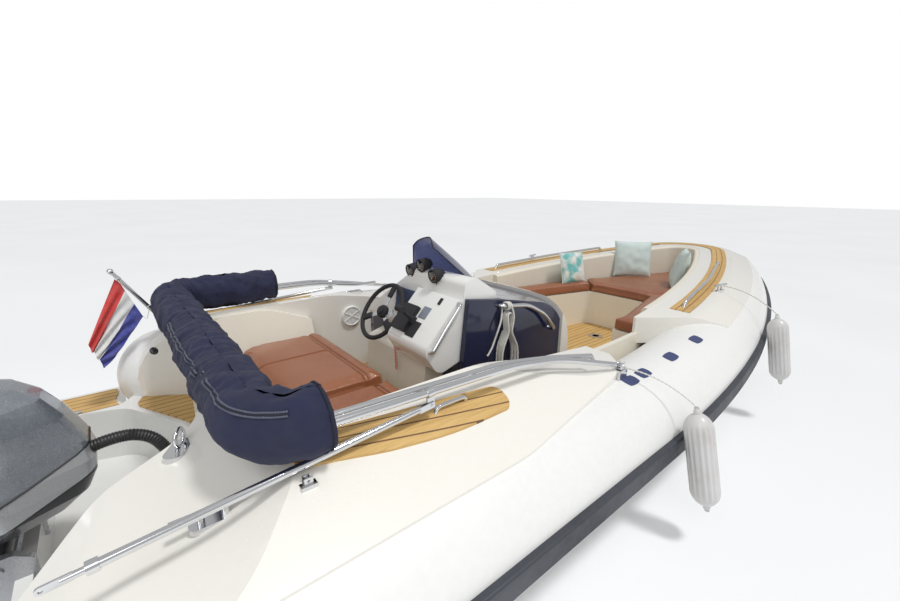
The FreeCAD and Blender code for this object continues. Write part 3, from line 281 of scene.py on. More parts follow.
def spline_line(points: Line, steps: int) -> list[Vector]:
    """The smooth line that a NURBS spline of order 3 makes of its control points.

    Args:
        points: The control points.
        steps: The samples for each control point.

    Returns:
        Points along the line.
    """
    data = bpy.data.curves.new("route_line", "CURVE")
    data.dimensions = "3D"
    data.resolution_u = steps
    spline = data.splines.new("NURBS")
    spline.points.add(len(points) - 1)
    for target, point in zip(spline.points, points):
        target.co = (*point, 1)
    spline.order_u = 3
    spline.use_endpoint_u = True
    route = bpy.data.objects.new("route_line", data)
    bpy.context.scene.collection.objects.link(route)
    made = bpy.data.meshes.new_from_object(route)
    line = [vertex.co.copy() for vertex in made.vertices]
    bpy.data.meshes.remove(made)
    bpy.data.objects.remove(route)
    return line


class Track:
    """A line through space with steady side and top directions along it."""

    def __init__(self, points: Iterable[Sequence[float]], top: Sequence[float] = (0, 0, 1)) -> None:
        """Measures the line and carries a top direction along it.

        Args:
            points: Points along the line.
            top: The direction that is kept on top at the start.
        """
        self.points = [Vector(point) for point in points]
        self.reach = [0.0]
        for one, two in zip(self.points, self.points[1:]):
            self.reach.append(self.reach[-1] + (two - one).length)
        self.length = self.reach[-1]
        self.ways, self.tops = [], []
        carried = Vector(top)
        for i in range(len(self.points)):
            way = (self.points[min(i + 1, len(self.points) - 1)] - self.points[max(i - 1, 0)]).normalized()
            carried = (carried - way * carried.dot(way)).normalized()
            self.ways.append(way)
            self.tops.append(carried.copy())

    def at(self, share: float) -> tuple[Vector, Vector, Vector, Vector]:
        """The point, way, top and side at a share of the length.

        Args:
            share: From 0 to 1.

        Returns:
            The point, the way along, the top and the side direction.
        """
        goal = within(share) * self.length
        i = min(bisect_right(self.reach, goal) - 1, len(self.reach) - 2)
        step = max(self.reach[i + 1] - self.reach[i], 1e-9)
        part = (goal - self.reach[i]) / step
        point = self.points[i].lerp(self.points[i + 1], part)
        way = self.ways[i].lerp(self.ways[i + 1], part).normalized()
        top = self.tops[i].lerp(self.tops[i + 1], part)
        top = (top - way * top.dot(way)).normalized()
        return point, way, top, way.cross(top)

    def off(self, share: float, angle: float, radius: float) -> Vector:
        """A point beside the line, turned from its top.

        Args:
            share: From 0 to 1 along the line.
            angle: Radians from the top towards the side.
            radius: The distance from the line.

        Returns:
            The point.
        """
        point, _, top, side = self.at(share)
        return point + top * (math.cos(angle) * radius) + side * (math.sin(angle) * radius)


def hose(points: Iterable[Sequence[float]], radius: float | Callable[[float], float], rings: int,
         sides: int = 16, capped: bool = True) -> Piece:
    """A round tube along points, closed at its ends.

    Args:
        points: Points along its centreline.
        radius: Its radius, or the radius for a share of its length.
        rings: Faces along it.
        sides: Faces round it.
        capped: Whether its ends are closed.

    Returns:
        The tube.
    """
    track = Track(points)
    size = radius if callable(radius) else lambda share: radius
    cap = 2 if capped else 0

    def place(u: float, v: float) -> Vector:
        """The tube's point for its grid.

        Args:
            u: The share along the grid's first direction.
            v: The share along its second direction.

        Returns:
            The point.
        """
        step = u * (rings + cap) - cap / 2
        share = within(step / rings)
        if capped and (step < -0.5 or step > rings + 0.5):
            return track.at(share)[0]
        return track.off(share, v * math.tau, size(share))

    return wrapped(rings + cap, sides, place)


def drop_on(node: Piece, x: float, y: float) -> Vector | None:
    """The highest point of a piece below a place.

    Args:
        node: A piece whose object sits at the origin.
        x: The place along the boat.
        y: The place across it.

    Returns:
        The point, or None where the ray misses.
    """
    hit, point, _, _ = node.ray_cast(Vector((x, y, RAY_HEIGHT)), -UP)
    return point.copy() if hit else None


# ---------------------------------------------------------------- finishes


def made_once(name: str, make: Callable[[], bpy.types.Material]) -> bpy.types.Material:
    """The material of that name, made where it isn't there yet.

    The frame brings a plain material for each slot of the record, so a finish with a slot's name gives that one.

    Args:
        name: The material's name.
        make: Makes it.

    Returns:
        The material.
    """
    return bpy.data.materials.get(name) or make()


class Graph:
    """A material's node tree, with short ways to add to it."""

    def __init__(self, name: str) -> None:
        """Starts a material with one principled shader.

        Args:
            name: The material's name.
        """
        self.material = bpy.data.materials.new(name)
        self.material.use_nodes = True
        self.tree = self.material.node_tree
        self.shader = self.tree.nodes["Principled BSDF"]
        self.place = self.add("ShaderNodeTexCoord").outputs["Object"]

    def add(self, kind: str, sockets: dict | None = None, **settings: object) -> bpy.types.Node:
        """Adds a node.

        Args:
            kind: The node's type.
            sockets: Values or outputs for its inputs, by name or number.
            settings: The node's own settings.

        Returns:
            The node.
        """
        node = self.tree.nodes.new(kind)
        for key, value in settings.items():
            setattr(node, key, value)
        for key, value in (sockets or {}).items():
            if isinstance(value, bpy.types.NodeSocket):
                self.tree.links.new(value, node.inputs[key])
            else:
                node.inputs[key].default_value = value
        return node

    def sum(self, operation: str, one: object, two: object = 0.0, clamp: bool = False) -> Socket:
        """A maths node's result.

        Args:
            operation: The operation's name.
            one: The first value or output.
            two: The second value or output.
            clamp: Whether the result stays from 0 to 1.

        Returns:
            The node's output.
        """
        return self.add("ShaderNodeMath", {0: one, 1: two}, operation=operation, use_clamp=clamp).outputs[0]

    def scaled(self, scale: Sequence[float], turn: Sequence[float] = (0, 0, 0)) -> Socket:
        """Object coordinates, stretched and turned."""
        return self.add("ShaderNodeMapping", {"Vector": self.place, "Scale": scale, "Rotation": turn}).outputs[0]

    def noise(self, scale: float, detail: float = 3.0, where: object = None) -> Socket:
        """A noise texture's value.

        Args:
            scale: Its scale.
            detail: Its detail.
            where: The coordinates, or None for the object's own.

        Returns:
            The value from 0 to 1.
        """
        found = where if where is not None else self.place
        return self.add("ShaderNodeTexNoise", {"Vector": found, "Scale": scale, "Detail": detail}).outputs[0]

    def ramp(self, value: object, low: float, high: float, start: float = 0.0, end: float = 1.0) -> Socket:
        """Maps a value from one range to another, and holds it inside."""
        return self.add("ShaderNodeMapRange", {0: value, 1: low, 2: high, 3: start, 4: end}).outputs[0]

    def tint(self, share: object, one: object, two: object) -> Socket:
        """Mixes two colours.

        Args:
            share: How much of the second.
            one: The first colour or output.
            two: The second colour or output.

        Returns:
            The colour.
        """
        one = (*one, 1) if isinstance(one, tuple) else one
        two = (*two, 1) if isinstance(two, tuple) else two
        return self.add("ShaderNodeMix", {0: share, 6: one, 7: two}, data_type="RGBA").outputs[2]

    def sparks(self, start: float, most: float) -> Socket:
        """Metallic flakes: random cells above a start value, mixed in up to the most."""
        cell = self.add("ShaderNodeTexVoronoi", {"Vector": self.place, "Scale": 900.0}).outputs["Color"]
        return self.ramp(self.add("ShaderNodeSeparateColor", {0: cell}).outputs[0], start, 1.0, 0, most)

    def set(self, **sockets: float) -> None:
        """Sets plain values on the shader, by its inputs' names with underscores."""
        for key, value in sockets.items():
            self.shader.inputs[key.replace("_", " ")].default_value = value

    def paint(self, colour: object, rough: object) -> None:
        """Links colour and roughness to the shader."""
        self.tree.links.new(colour, self.shader.inputs["Base Color"])
        self.tree.links.new(rough, self.shader.inputs["Roughness"])

    def emboss(self, height: object, strength: float, depth: float) -> None:
        """Links a height to the shader's normal.

        Args:
            height: The height's output.
            strength: The bump's strength.
            depth: Its depth in metres.
        """
        bump = self.add("ShaderNodeBump", {"Height": height, "Strength": strength, "Distance": depth})
        self.tree.links.new(bump.outputs[0], self.shader.inputs["Normal"])


class Grain(Enum):
    """The surface detail of a finish."""

    PEEL = "moulded gelcoat"
    RUBBER = "coated tube fabric"
    HIDE = "vinyl hide"
    WEAVE = "woven cloth"
    DRAWN = "drawn or polished metal"
    FLAKE = "metallic paint"
    TWIST = "laid rope"
    MATTE = "moulded matte plastic"


@dataclass(frozen=True)
class Finish:
    """One material of the boat."""

    name: str
    colour: Colour
    second: Colour
    rough: float
    grain: Grain
    metal: float = 0.0
    coat: float = 0.0
    sheen: float = 0.0
    clear: float = 0.0
    cloud: float = 2.2
    slot: str = ""

    def material(self) -> bpy.types.Material:
        """The finish's material, made once."""
        return made_once(self.name, self.made)

    def made(self) -> bpy.types.Material:
        """Builds the material.

        Returns:
            The new material.
        """
        graph = Graph(self.name)
        cloud = graph.ramp(graph.noise(self.cloud, 5), 0.35, 0.7)
        fine = graph.noise(38, 6)
        share = graph.sum("MULTIPLY", cloud, graph.ramp(fine, 0.3, 0.75, 0.35, 1), clamp=True)
        rough = graph.ramp(graph.sum("ADD", cloud, fine), 0.5, 1.5, self.rough * 0.8, min(1.0, self.rough * 1.25))
        colour = graph.tint(share, self.colour, self.second)
        height, strength, depth = self.relief(graph)
        # Painted shade: a woven finish is darkened in the hollows between its threads, on top of its bump.
        if self.grain is Grain.WEAVE:
            colour = graph.tint(graph.ramp(height, 0.2, 0.9, 0.35, 0), colour, tuple(0.45 * c for c in self.colour))
        if self.grain is Grain.FLAKE:
            spark = graph.sparks(0.82, 0.55)
            colour = graph.tint(spark, colour, tuple(min(1.0, 2.6 * c + 0.12) for c in self.colour))
        graph.paint(colour, rough)
        graph.emboss(height, strength, depth)
        graph.set(Metallic=self.metal, Coat_Weight=self.coat, Coat_Roughness=0.04, Sheen_Weight=self.sheen,
                  Transmission_Weight=self.clear)
        if self.clear:
            graph.set(IOR=1.3)
        return graph.material

    def relief(self, graph: Graph) -> tuple[Socket, float, float]:
        """The height that belongs to the grain.

        Args:
            graph: The material's node tree.

        Returns:
            The height, its strength and its depth in metres.
        """
        if self.grain is Grain.WEAVE:
            waves = []
            for turn in ((0, 0, 0.785), (0, 0, -0.785)):
                where = graph.scaled((1, 1, 1.3), turn)
                waves.append(graph.add("ShaderNodeTexWave", {"Vector": where, "Scale": 190.0, "Distortion": 0.6},
                                       bands_direction="DIAGONAL").outputs[1])
            return graph.sum("MAXIMUM", *waves), 0.5, 0.0012
        if self.grain is Grain.HIDE:
            cells = graph.add("ShaderNodeTexVoronoi", {"Vector": graph.place, "Scale": 260.0}).outputs["Distance"]
            return graph.sum("ADD", cells, graph.noise(22, 4)), 0.35, 0.0016
        if self.grain is Grain.RUBBER:
            return graph.sum("ADD", graph.noise(420, 2), graph.noise(3.5, 3)), 0.16, 0.0012
        if self.grain is Grain.DRAWN:
            return graph.noise(60, 4, graph.scaled((0.4, 4, 4))), 0.03, 0.0006
        if self.grain is Grain.TWIST:
            wave = graph.add("ShaderNodeTexWave", {"Vector": graph.scaled((1, 1, 1), (0.5, 0.6, 0)), "Scale": 60.0,
                                                   "Distortion": 1.2}, bands_direction="DIAGONAL").outputs[1]
            return graph.sum("ADD", wave, graph.noise(300, 2)), 0.7, 0.0015
        if self.grain is Grain.MATTE:
            return graph.noise(320, 3), 0.22, 0.0008
        return graph.noise(14, 2), 0.05, 0.0012


@dataclass(frozen=True)
class Planking:
    """Teak planks with dark caulked seams, straight along the boat or round the bow."""

    name: str
    pitch: float
    shift: float = 0.0
    seam: float = 0.06
    round_bow: bool = False
    light: Colour = (0.67, 0.44, 0.165)
    dark: Colour = (0.48, 0.29, 0.095)
    caulk: Colour = (0.17, 0.085, 0.035)

    def material(self) -> bpy.types.Material:
        """The planking's material, made once."""
        return made_once(self.name, self.made)

    def across(self, graph: Graph, parts: bpy.types.Node) -> Socket:
        """The distance across the planks.

        Args:
            graph: The material's node tree.
            parts: The separated object coordinates.

        Returns:
            Metres across the planks.
        """
        if not self.round_bow:
            return parts.outputs[1]
        side = graph.sum("ABSOLUTE", parts.outputs[1])
        flat = graph.add("ShaderNodeCombineXYZ", {0: parts.outputs[0], 1: side, 2: 0.0}).outputs[0]
        far, near = (graph.add("ShaderNodeVectorMath", {0: flat, 1: centre}, operation="DISTANCE").outputs["Value"]
                     for centre in (LONG_ARC_CENTRE, STEM_CENTRE))
        ahead = graph.sum("SUBTRACT", graph.sum("SUBTRACT", parts.outputs[0], STEM_CENTRE[0]),
                          graph.sum("MULTIPLY", side, STEM_SPREAD))
        chosen = graph.sum("GREATER_THAN", ahead, 0.0)
        long_inset = graph.sum("SUBTRACT", LONG_ARC_RADIUS, far)
        stem_inset = graph.sum("SUBTRACT", STEM_RADIUS, near)
        return graph.sum("ADD", graph.sum("MULTIPLY", long_inset, graph.sum("SUBTRACT", 1.0, chosen)),
                         graph.sum("MULTIPLY", stem_inset, chosen))

    def made(self) -> bpy.types.Material:
        """Builds the material.

        Returns:
            The new material.
        """
        graph = Graph(self.name)
        parts = graph.add("ShaderNodeSeparateXYZ", {0: graph.place})
        plank = graph.sum("DIVIDE", graph.sum("ADD", self.across(graph, parts), self.shift), self.pitch)
        seam = graph.sum("LESS_THAN", graph.sum("PINGPONG", plank, 0.5), self.seam)
        own = graph.add("ShaderNodeTexWhiteNoise", {"W": graph.sum("FLOOR", graph.sum("ADD", plank, 0.5))},
                        noise_dimensions="1D").outputs[0]
        grain = graph.noise(9, 8, graph.scaled((1.2, 14, 14)))
        ticks = graph.noise(120, 3, graph.scaled((0.5, 6, 6)))
        share = graph.sum("ADD", graph.sum("MULTIPLY", own, 0.45), graph.ramp(grain, 0.35, 0.7, 0, 0.75), clamp=True)
        wood = graph.tint(graph.sum("MULTIPLY", share, graph.ramp(ticks, 0.3, 0.7, 0.6, 1)), self.light, self.dark)
        graph.paint(graph.tint(seam, wood, self.caulk), graph.ramp(grain, 0.3, 0.7, 0.5, 0.72))
        graph.emboss(graph.sum("SUBTRACT", graph.sum("MULTIPLY", grain, 0.3), seam), 0.5, 0.0012)
        return graph.material


TUBES = Finish("tube_coating", (0.84, 0.84, 0.83), (0.78, 0.78, 0.76), 0.36, Grain.RUBBER, coat=0.15, cloud=0.9)
STRAKE = Finish("strake_rubber", (0.045, 0.05, 0.065), (0.03, 0.032, 0.04), 0.55, Grain.MATTE)
HULL = Finish("hull_gelcoat", (0.84, 0.84, 0.82), (0.79, 0.79, 0.77), 0.16, Grain.PEEL, coat=0.6)
CREAM = Finish("deck_gelcoat", (0.80, 0.755, 0.655), (0.77, 0.72, 0.61), 0.2, Grain.PEEL, coat=0.5, cloud=1.2)
DECK = Finish("side_deck_gelcoat", (0.84, 0.82, 0.765), (0.81, 0.785, 0.72), 0.22, Grain.PEEL, coat=0.5, cloud=1.2)
WHITE = Finish("pod_gelcoat", (0.80, 0.80, 0.78), (0.76, 0.76, 0.74), 0.2, Grain.PEEL, coat=0.5, slot="gelcoat_cream")
NAVY = Finish("console_gelcoat", (0.010, 0.013, 0.045), (0.014, 0.018, 0.06), 0.12, Grain.PEEL,
              coat=0.35, slot="console_navy")
BROWN = Finish("seat_vinyl", (0.31, 0.115, 0.052), (0.24, 0.08, 0.036), 0.36, Grain.HIDE, coat=0.08, slot="seat_brown")
# Painted shade: the seat vinyl darkened as on a cushion's shaded side; it colours the seam threads.
BROWN_SHADED = Finish("seat_vinyl_shaded", (0.13, 0.045, 0.02), (0.09, 0.03, 0.014), 0.42, Grain.HIDE, slot="seat_brown")
PADDED_CREAM = Finish("backrest_vinyl", (0.78, 0.74, 0.64), (0.73, 0.68, 0.57), 0.4, Grain.HIDE)
STEEL = Finish("bright_steel", (0.74, 0.75, 0.77), (0.66, 0.67, 0.69), 0.12, Grain.DRAWN, metal=1.0, slot="stainless")
BLACK = Finish("black_plastic", (0.018, 0.018, 0.02), (0.03, 0.03, 0.033), 0.42, Grain.MATTE, slot="black_plastic")
GLOSS_BLACK = Finish("dial_glass", (0.008, 0.008, 0.01), (0.012, 0.012, 0.014), 0.06, Grain.PEEL,
                     coat=1.0, slot="black_plastic")
GREY = Finish("tray_plastic", (0.20, 0.23, 0.28), (0.16, 0.19, 0.24), 0.4, Grain.MATTE, slot="black_plastic")
SCREEN = Finish("tinted_screen", (0.13, 0.15, 0.31), (0.10, 0.115, 0.26), 0.03, Grain.PEEL,
                clear=0.72, coat=0.6, slot="screen_tint")
COVER = Finish("plotter_cloth", (0.03, 0.05, 0.14), (0.02, 0.035, 0.10), 0.75, Grain.WEAVE,
               sheen=0.2, slot="cover_blue")
CANVAS = Finish("boot_canvas", (0.010, 0.013, 0.048), (0.022, 0.027, 0.078), 0.88, Grain.WEAVE,
                sheen=0.06, cloud=5, slot="canvas_navy")
CANVAS_EDGE = Finish("boot_binding", (0.007, 0.008, 0.022), (0.012, 0.014, 0.03), 0.7, Grain.WEAVE, slot="canvas_navy")
ZIP = Finish("zip_teeth", (0.07, 0.08, 0.12), (0.11, 0.12, 0.16), 0.4, Grain.MATTE, slot="canvas_navy")
COWL = Finish("cowl_paint", (0.25, 0.275, 0.31), (0.21, 0.235, 0.27), 0.24, Grain.FLAKE, metal=0.55, coat=0.9)
ENGINE = Finish("engine_paint", (0.035, 0.037, 0.043), (0.055, 0.058, 0.066), 0.38, Grain.FLAKE, metal=0.3, coat=0.3)
ALLOY = Finish("cast_alloy", (0.42, 0.43, 0.45), (0.34, 0.35, 0.37), 0.3, Grain.DRAWN, metal=0.9)
HOSE = Finish("hose_rubber", (0.016, 0.016, 0.017), (0.03, 0.03, 0.032), 0.5, Grain.MATTE, slot="hose_black")
# Painted shade: the white fender vinyl is given a grey colour, as the fenders hang in shade beside the tube.
SHADED_FENDER = Finish("fender_vinyl_shaded", (0.64, 0.63, 0.63), (0.53, 0.52, 0.50), 0.38, Grain.RUBBER,
                coat=0.1, cloud=9, slot="fender_white")
ROPE = Finish("laid_rope", (0.76, 0.75, 0.71), (0.62, 0.60, 0.55), 0.8, Grain.TWIST, slot="rope_white")
CORD_RED = Finish("curly_cord", (0.62, 0.04, 0.03), (0.5, 0.03, 0.025), 0.3, Grain.MATTE, coat=0.4, slot="cord_red")
SPEAKER = Finish("speaker_plastic", (0.78, 0.78, 0.76), (0.72, 0.72, 0.7), 0.35, Grain.MATTE, slot="speaker_white")
PATCH = Finish("patch_fabric", (0.035, 0.05, 0.15), (0.05, 0.065, 0.18), 0.5, Grain.RUBBER, slot="strake_dark")
PORT_GLASS = Finish("lamp_lens", (0.02, 0.02, 0.025), (0.03, 0.03, 0.03), 0.12, Grain.PEEL,
                    coat=0.8, slot="black_plastic")

SOLE = Planking("sole_teak", 0.047, 0.0235)
PLATFORM_TEAK = Planking("platform_teak", 0.05, 0.0)
BOW_TEAK = Planking("bow_teak", 0.043, 0.01, round_bow=True)


def two_tone_cowl() -> bpy.types.Material:
    """The lower cowl's paint: a bright band below the slanted joint, dark beneath it.

    Returns:
        The material.
    """
    graph = Graph("lower_cowl_paint")
    parts = graph.add("ShaderNodeSeparateXYZ", {0: graph.place})
    slope = graph.sum("MULTIPLY", graph.sum("ADD", parts.outputs[0], JOINT_OFFSET), JOINT_SLOPE)
    below = graph.sum("SUBTRACT", graph.sum("ADD", slope, JOINT_HEIGHT), parts.outputs[2])
    dark = graph.ramp(below, 0.098, 0.101)
    lip = graph.sum("LESS_THAN", graph.sum("ABSOLUTE", graph.sum("SUBTRACT", below, 0.1)), 0.0035)
    spark = graph.sparks(0.8, 0.5)
    band = graph.tint(spark, (0.46, 0.48, 0.51), (0.80, 0.82, 0.84))
    low = graph.tint(spark, (0.04, 0.042, 0.048), (0.10, 0.11, 0.12))
    colour = graph.tint(lip, graph.tint(dark, band, low), (0.01, 0.01, 0.01))
    graph.paint(colour, graph.ramp(graph.noise(12, 3), 0.3, 0.7, 0.2, 0.3))
    graph.emboss(graph.sum("MULTIPLY", lip, -1.0), 0.6, 0.002)
    graph.set(Metallic=0.5, Coat_Weight=0.8, Coat_Roughness=0.05)
    return graph.material


def striped_flag() -> bpy.types.Material:
    """Three plain bands along the hoist: red, white and blue, in light woven cloth.

    Returns:
        The material.
    """
    graph = Graph("flag_cloth")
    grid = graph.add("ShaderNodeUVMap").outputs[0]
    band = graph.add("ShaderNodeSeparateXYZ", {0: grid}).outputs[1]
    upper = graph.sum("GREATER_THAN", band, 0.667)
    lower = graph.sum("LESS_THAN", band, 0.333)
    colour = graph.tint(lower, graph.tint(upper, (0.80, 0.80, 0.80), (0.66, 0.035, 0.03)), (0.035, 0.05, 0.33))
    wave = graph.add("ShaderNodeTexWave", {"Vector": grid, "Scale": 60.0}, bands_direction="DIAGONAL").outputs[1]
    shade = graph.ramp(graph.noise(30, 4), 0.3, 0.7, 0, 0.18)
    graph.paint(graph.tint(shade, colour, (0.45, 0.42, 0.42)), graph.ramp(wave, 0, 1, 0.7, 0.85))
    graph.emboss(wave, 0.15, 0.0004)
    graph.set(Sheen_Weight=0.2)
    return graph.material


def clouded_cloth() -> bpy.types.Material:
    """The first pillow's cloth: white with soft teal clouds and a fine weave.

    Returns:
        The material.
    """
    graph = Graph("pillow_cloth")
    cloud = graph.ramp(graph.noise(9.5, 5), 0.42, 0.58)
    small = graph.ramp(graph.noise(21, 4), 0.55, 0.68, 0, 0.6)
    teal = graph.tint(small, (0.16, 0.50, 0.50), (0.45, 0.70, 0.66))
    colour = graph.tint(cloud, (0.80, 0.80, 0.77), teal)
    weave = graph.add("ShaderNodeTexWave", {"Vector": graph.scaled((1, 1, 1), (0.6, 0.4, 0.7)), "Scale": 230.0,
                                            "Distortion": 0.8}).outputs[1]
    graph.paint(colour, graph.ramp(weave, 0, 1, 0.75, 0.9))
    graph.emboss(weave, 0.3, 0.0008)
    graph.set(Sheen_Weight=0.3)
    return graph.material


def material_of(finish: Finish | Planking | bpy.types.Material) -> bpy.types.Material:
    """The material itself, or the one that a finish makes."""
    return finish if isinstance(finish, bpy.types.Material) else finish.material()


def dress(piece: Piece, name: str, finish: Finish | bpy.types.Material, *stands_for: str, body: str = "hull",
          slot: str = "", angle: float = 40) -> Piece:
    """Names a finished piece, gives it its material and smooth faces, and lets it ride.

    Args:
        piece: The piece, a mesh.
        name: Its name.
        finish: Its finish or material.
        stands_for: The CAD nodes that it replaces.
        body: The CAD body that it rides on, or "" where it rides on none.
        slot: The record's material slot, or "" for the finish's own; not used.
        angle: Edges sharper than this many degrees stay sharp.

    Returns:
        The piece.
    """
    settle(piece)
    piece.name = piece.data.name = name
    piece.data.materials.clear()
    piece.data.materials.append(material_of(finish))
    take(piece)
    bpy.ops.object.shade_smooth_by_angle(angle=math.radians(angle))
    slot or finish.slot
    if stands_for:
        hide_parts(*stands_for)
    if body:
        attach(piece, body)
    LOG.info("%s on %s", name, body or "a blend")
    return piece


def coat_node(name: str, finish: Finish | Planking | bpy.types.Material) -> None:
    """Gives a kept CAD node a better material in all its slots.

    Args:
        name: The node.
        finish: The finish or material.
    """
    node = frame["nodes"][name]
    material = material_of(finish)
    for entry in node.material_slots:
        entry.link = "OBJECT"
        entry.material = material
    LOG.info("%s finished with %s", name, material.name)


KEPT = {
    "starboard_tube": TUBES, "port_tube": TUBES, "bow_tube": TUBES, "rubbing_strake": STRAKE, "hull_bottom": HULL,
    "aft_seat_base": CREAM, "aft_seat_surround": CREAM, "bow_deck": DECK, "bow_seat_base": CREAM,
    "cockpit_liner": CREAM, "port_platform": WHITE, "starboard_platform": WHITE,
    "splash_well": WHITE, "stern_deck": DECK, "console_kick_panel": CREAM, "cockpit_sole": SOLE,
    "deck_teak": BOW_TEAK, "stern_teak": PLATFORM_TEAK, "console_front_panel": DECK,
    "bimini_frame": STEEL, "bow_rails": STEEL, "console_rails": STEEL, "deck_cleats": STEEL,
    "flagstaff": STEEL, "frame_hinges": STEEL, "port_brace": STEEL, "port_brace_foot": STEEL,
    "starboard_brace": STEEL, "starboard_brace_foot": STEEL, "table_socket": STEEL,
    "throttle_control": BLACK, "engine_cowl": COWL, "engine_clamp": ALLOY, "engine_leg": ENGINE,
    "engine_swivel": ENGINE, "propeller": ENGINE, "speakers": SPEAKER, "bow_backrest": PADDED_CREAM,
}


@dataclass
class Studio:
    """The pale floor at the waterline, soft lamps, a white world and the camera."""

    eye: Point = (0.0, -1.93, 1.52)
    yaw: float = 50.4
    pitch: float = 14.8
    roll: float = 0.6
    lens: float = 16.8
    sensor: float = 36.0
    key_way: Point = (-0.20, 0.42, -1.0)
    key_power: float = 1.55
    key_spread: float = 9.0
    fill_place: Point = (-3.0, -4.0, 5.0)
    fill_goal: Point = (1.5, 0.0, 0.5)
    fill_side: float = 4.0
    fill_power: float = 110.0
    sky_as_lamp: float = 0.52
    sky_seen: float = 1.0

    def build(self) -> None:
        """Makes the camera, the floor, the lamps and the world."""
        self.camera()
        bpy.ops.mesh.primitive_plane_add(size=120, location=(2.3, 0, 0))
        floor = bpy.context.object
        floor.name = "waterline_floor"
        floor.data.materials.append(self.floor_paint())
        key = self.lamp("key_lamp", "SUN", Vector(self.key_way), self.key_power)
        key.angle = math.radians(self.key_spread)
        way = Vector(self.fill_goal) - Vector(self.fill_place)
        fill = self.lamp("fill_lamp", "AREA", way, self.fill_power, self.fill_place)
        fill.size = self.fill_side
        self.world()
        bpy.context.scene.view_settings.view_transform = "Standard"

    def camera(self) -> None:
        """Places the camera where the photograph was taken from."""
        yaw, pitch, roll = (math.radians(angle) for angle in (self.yaw, self.pitch, self.roll))
        ahead = Vector((math.cos(yaw), math.sin(yaw), 0))
        right = Vector((math.sin(yaw), -math.cos(yaw), 0))
        forward = ahead * math.cos(pitch) - UP * math.sin(pitch)
        down = -ahead * math.sin(pitch) - UP * math.cos(pitch)
        across = right * math.cos(roll) - down * math.sin(roll)
        below = down * math.cos(roll) + right * math.sin(roll)
        data = bpy.data.cameras.new("photo_camera")
        data.lens, data.sensor_width = self.lens, self.sensor
        data.clip_start, data.clip_end = 0.02, 200
        camera = bpy.data.objects.new("photo_camera", data)
        camera.matrix_world = standing(Vector(self.eye), across, -below, -forward)
        bpy.context.scene.collection.objects.link(camera)
        bpy.context.scene.camera = camera

    def lamp(self, name: str, kind: str, way: Vector, power: float, place: Point = (0, 0, 0)) -> bpy.types.Light:
        """Adds a lamp.

        Args:
            name: Its name.
            kind: SUN or AREA.
            way: The direction that it shines in.
            power: Its power.
            place: Where it hangs.

        Returns:
            The lamp's data, for its size.
        """
        data = bpy.data.lights.new(name, kind)
        data.energy = power
        lamp = bpy.data.objects.new(name, data)
        lamp.location = place
        lamp.rotation_euler = way.to_track_quat("-Z", "Y").to_euler()
        bpy.context.scene.collection.objects.link(lamp)
        return data

    def floor_paint(self) -> bpy.types.Material:
        """The floor's plain pale finish, which keeps the object's shadow.

        Returns:
            The material.
        """
        graph = Graph("pale_floor")
        shade = graph.ramp(graph.noise(0.4, 2), 0.3, 0.7)
        graph.paint(graph.tint(shade, (0.86, 0.87, 0.88), (0.89, 0.90, 0.91)), graph.ramp(shade, 0, 1, 0.75, 0.8))
        return graph.material

    def world(self) -> None:
        """A world that is white to the camera and through glass, and soft as a lamp."""
        world = bpy.data.worlds.new("soft_world")
        bpy.context.scene.world = world
        world.use_nodes = True
        tree = world.node_tree
        back = tree.nodes["Background"]
        path = tree.nodes.new("ShaderNodeLightPath")
        seen = tree.nodes.new("ShaderNodeMath")
        seen.operation = "MAXIMUM"
        tree.links.new(path.outputs["Is Camera Ray"], seen.inputs[0])
        tree.links.new(path.outputs["Is Transmission Ray"], seen.inputs[1])
        strength = tree.nodes.new("ShaderNodeMapRange")
        tree.links.new(seen.outputs[0], strength.inputs[0])
        strength.inputs[3].default_value = self.sky_as_lamp
        strength.inputs[4].default_value = self.sky_seen
        back.inputs[0].default_value = (1, 1, 1, 1)
        tree.links.new(strength.outputs[0], back.inputs[1])


class Frame:
    """The CAD nodes that stay in sight."""

    def build(self) -> None:
        """Gives each kept node its finish."""
        for name, finish in KEPT.items():
            coat_node(name, finish)
        coat_node("engine_lower_cowl", two_tone_cowl())


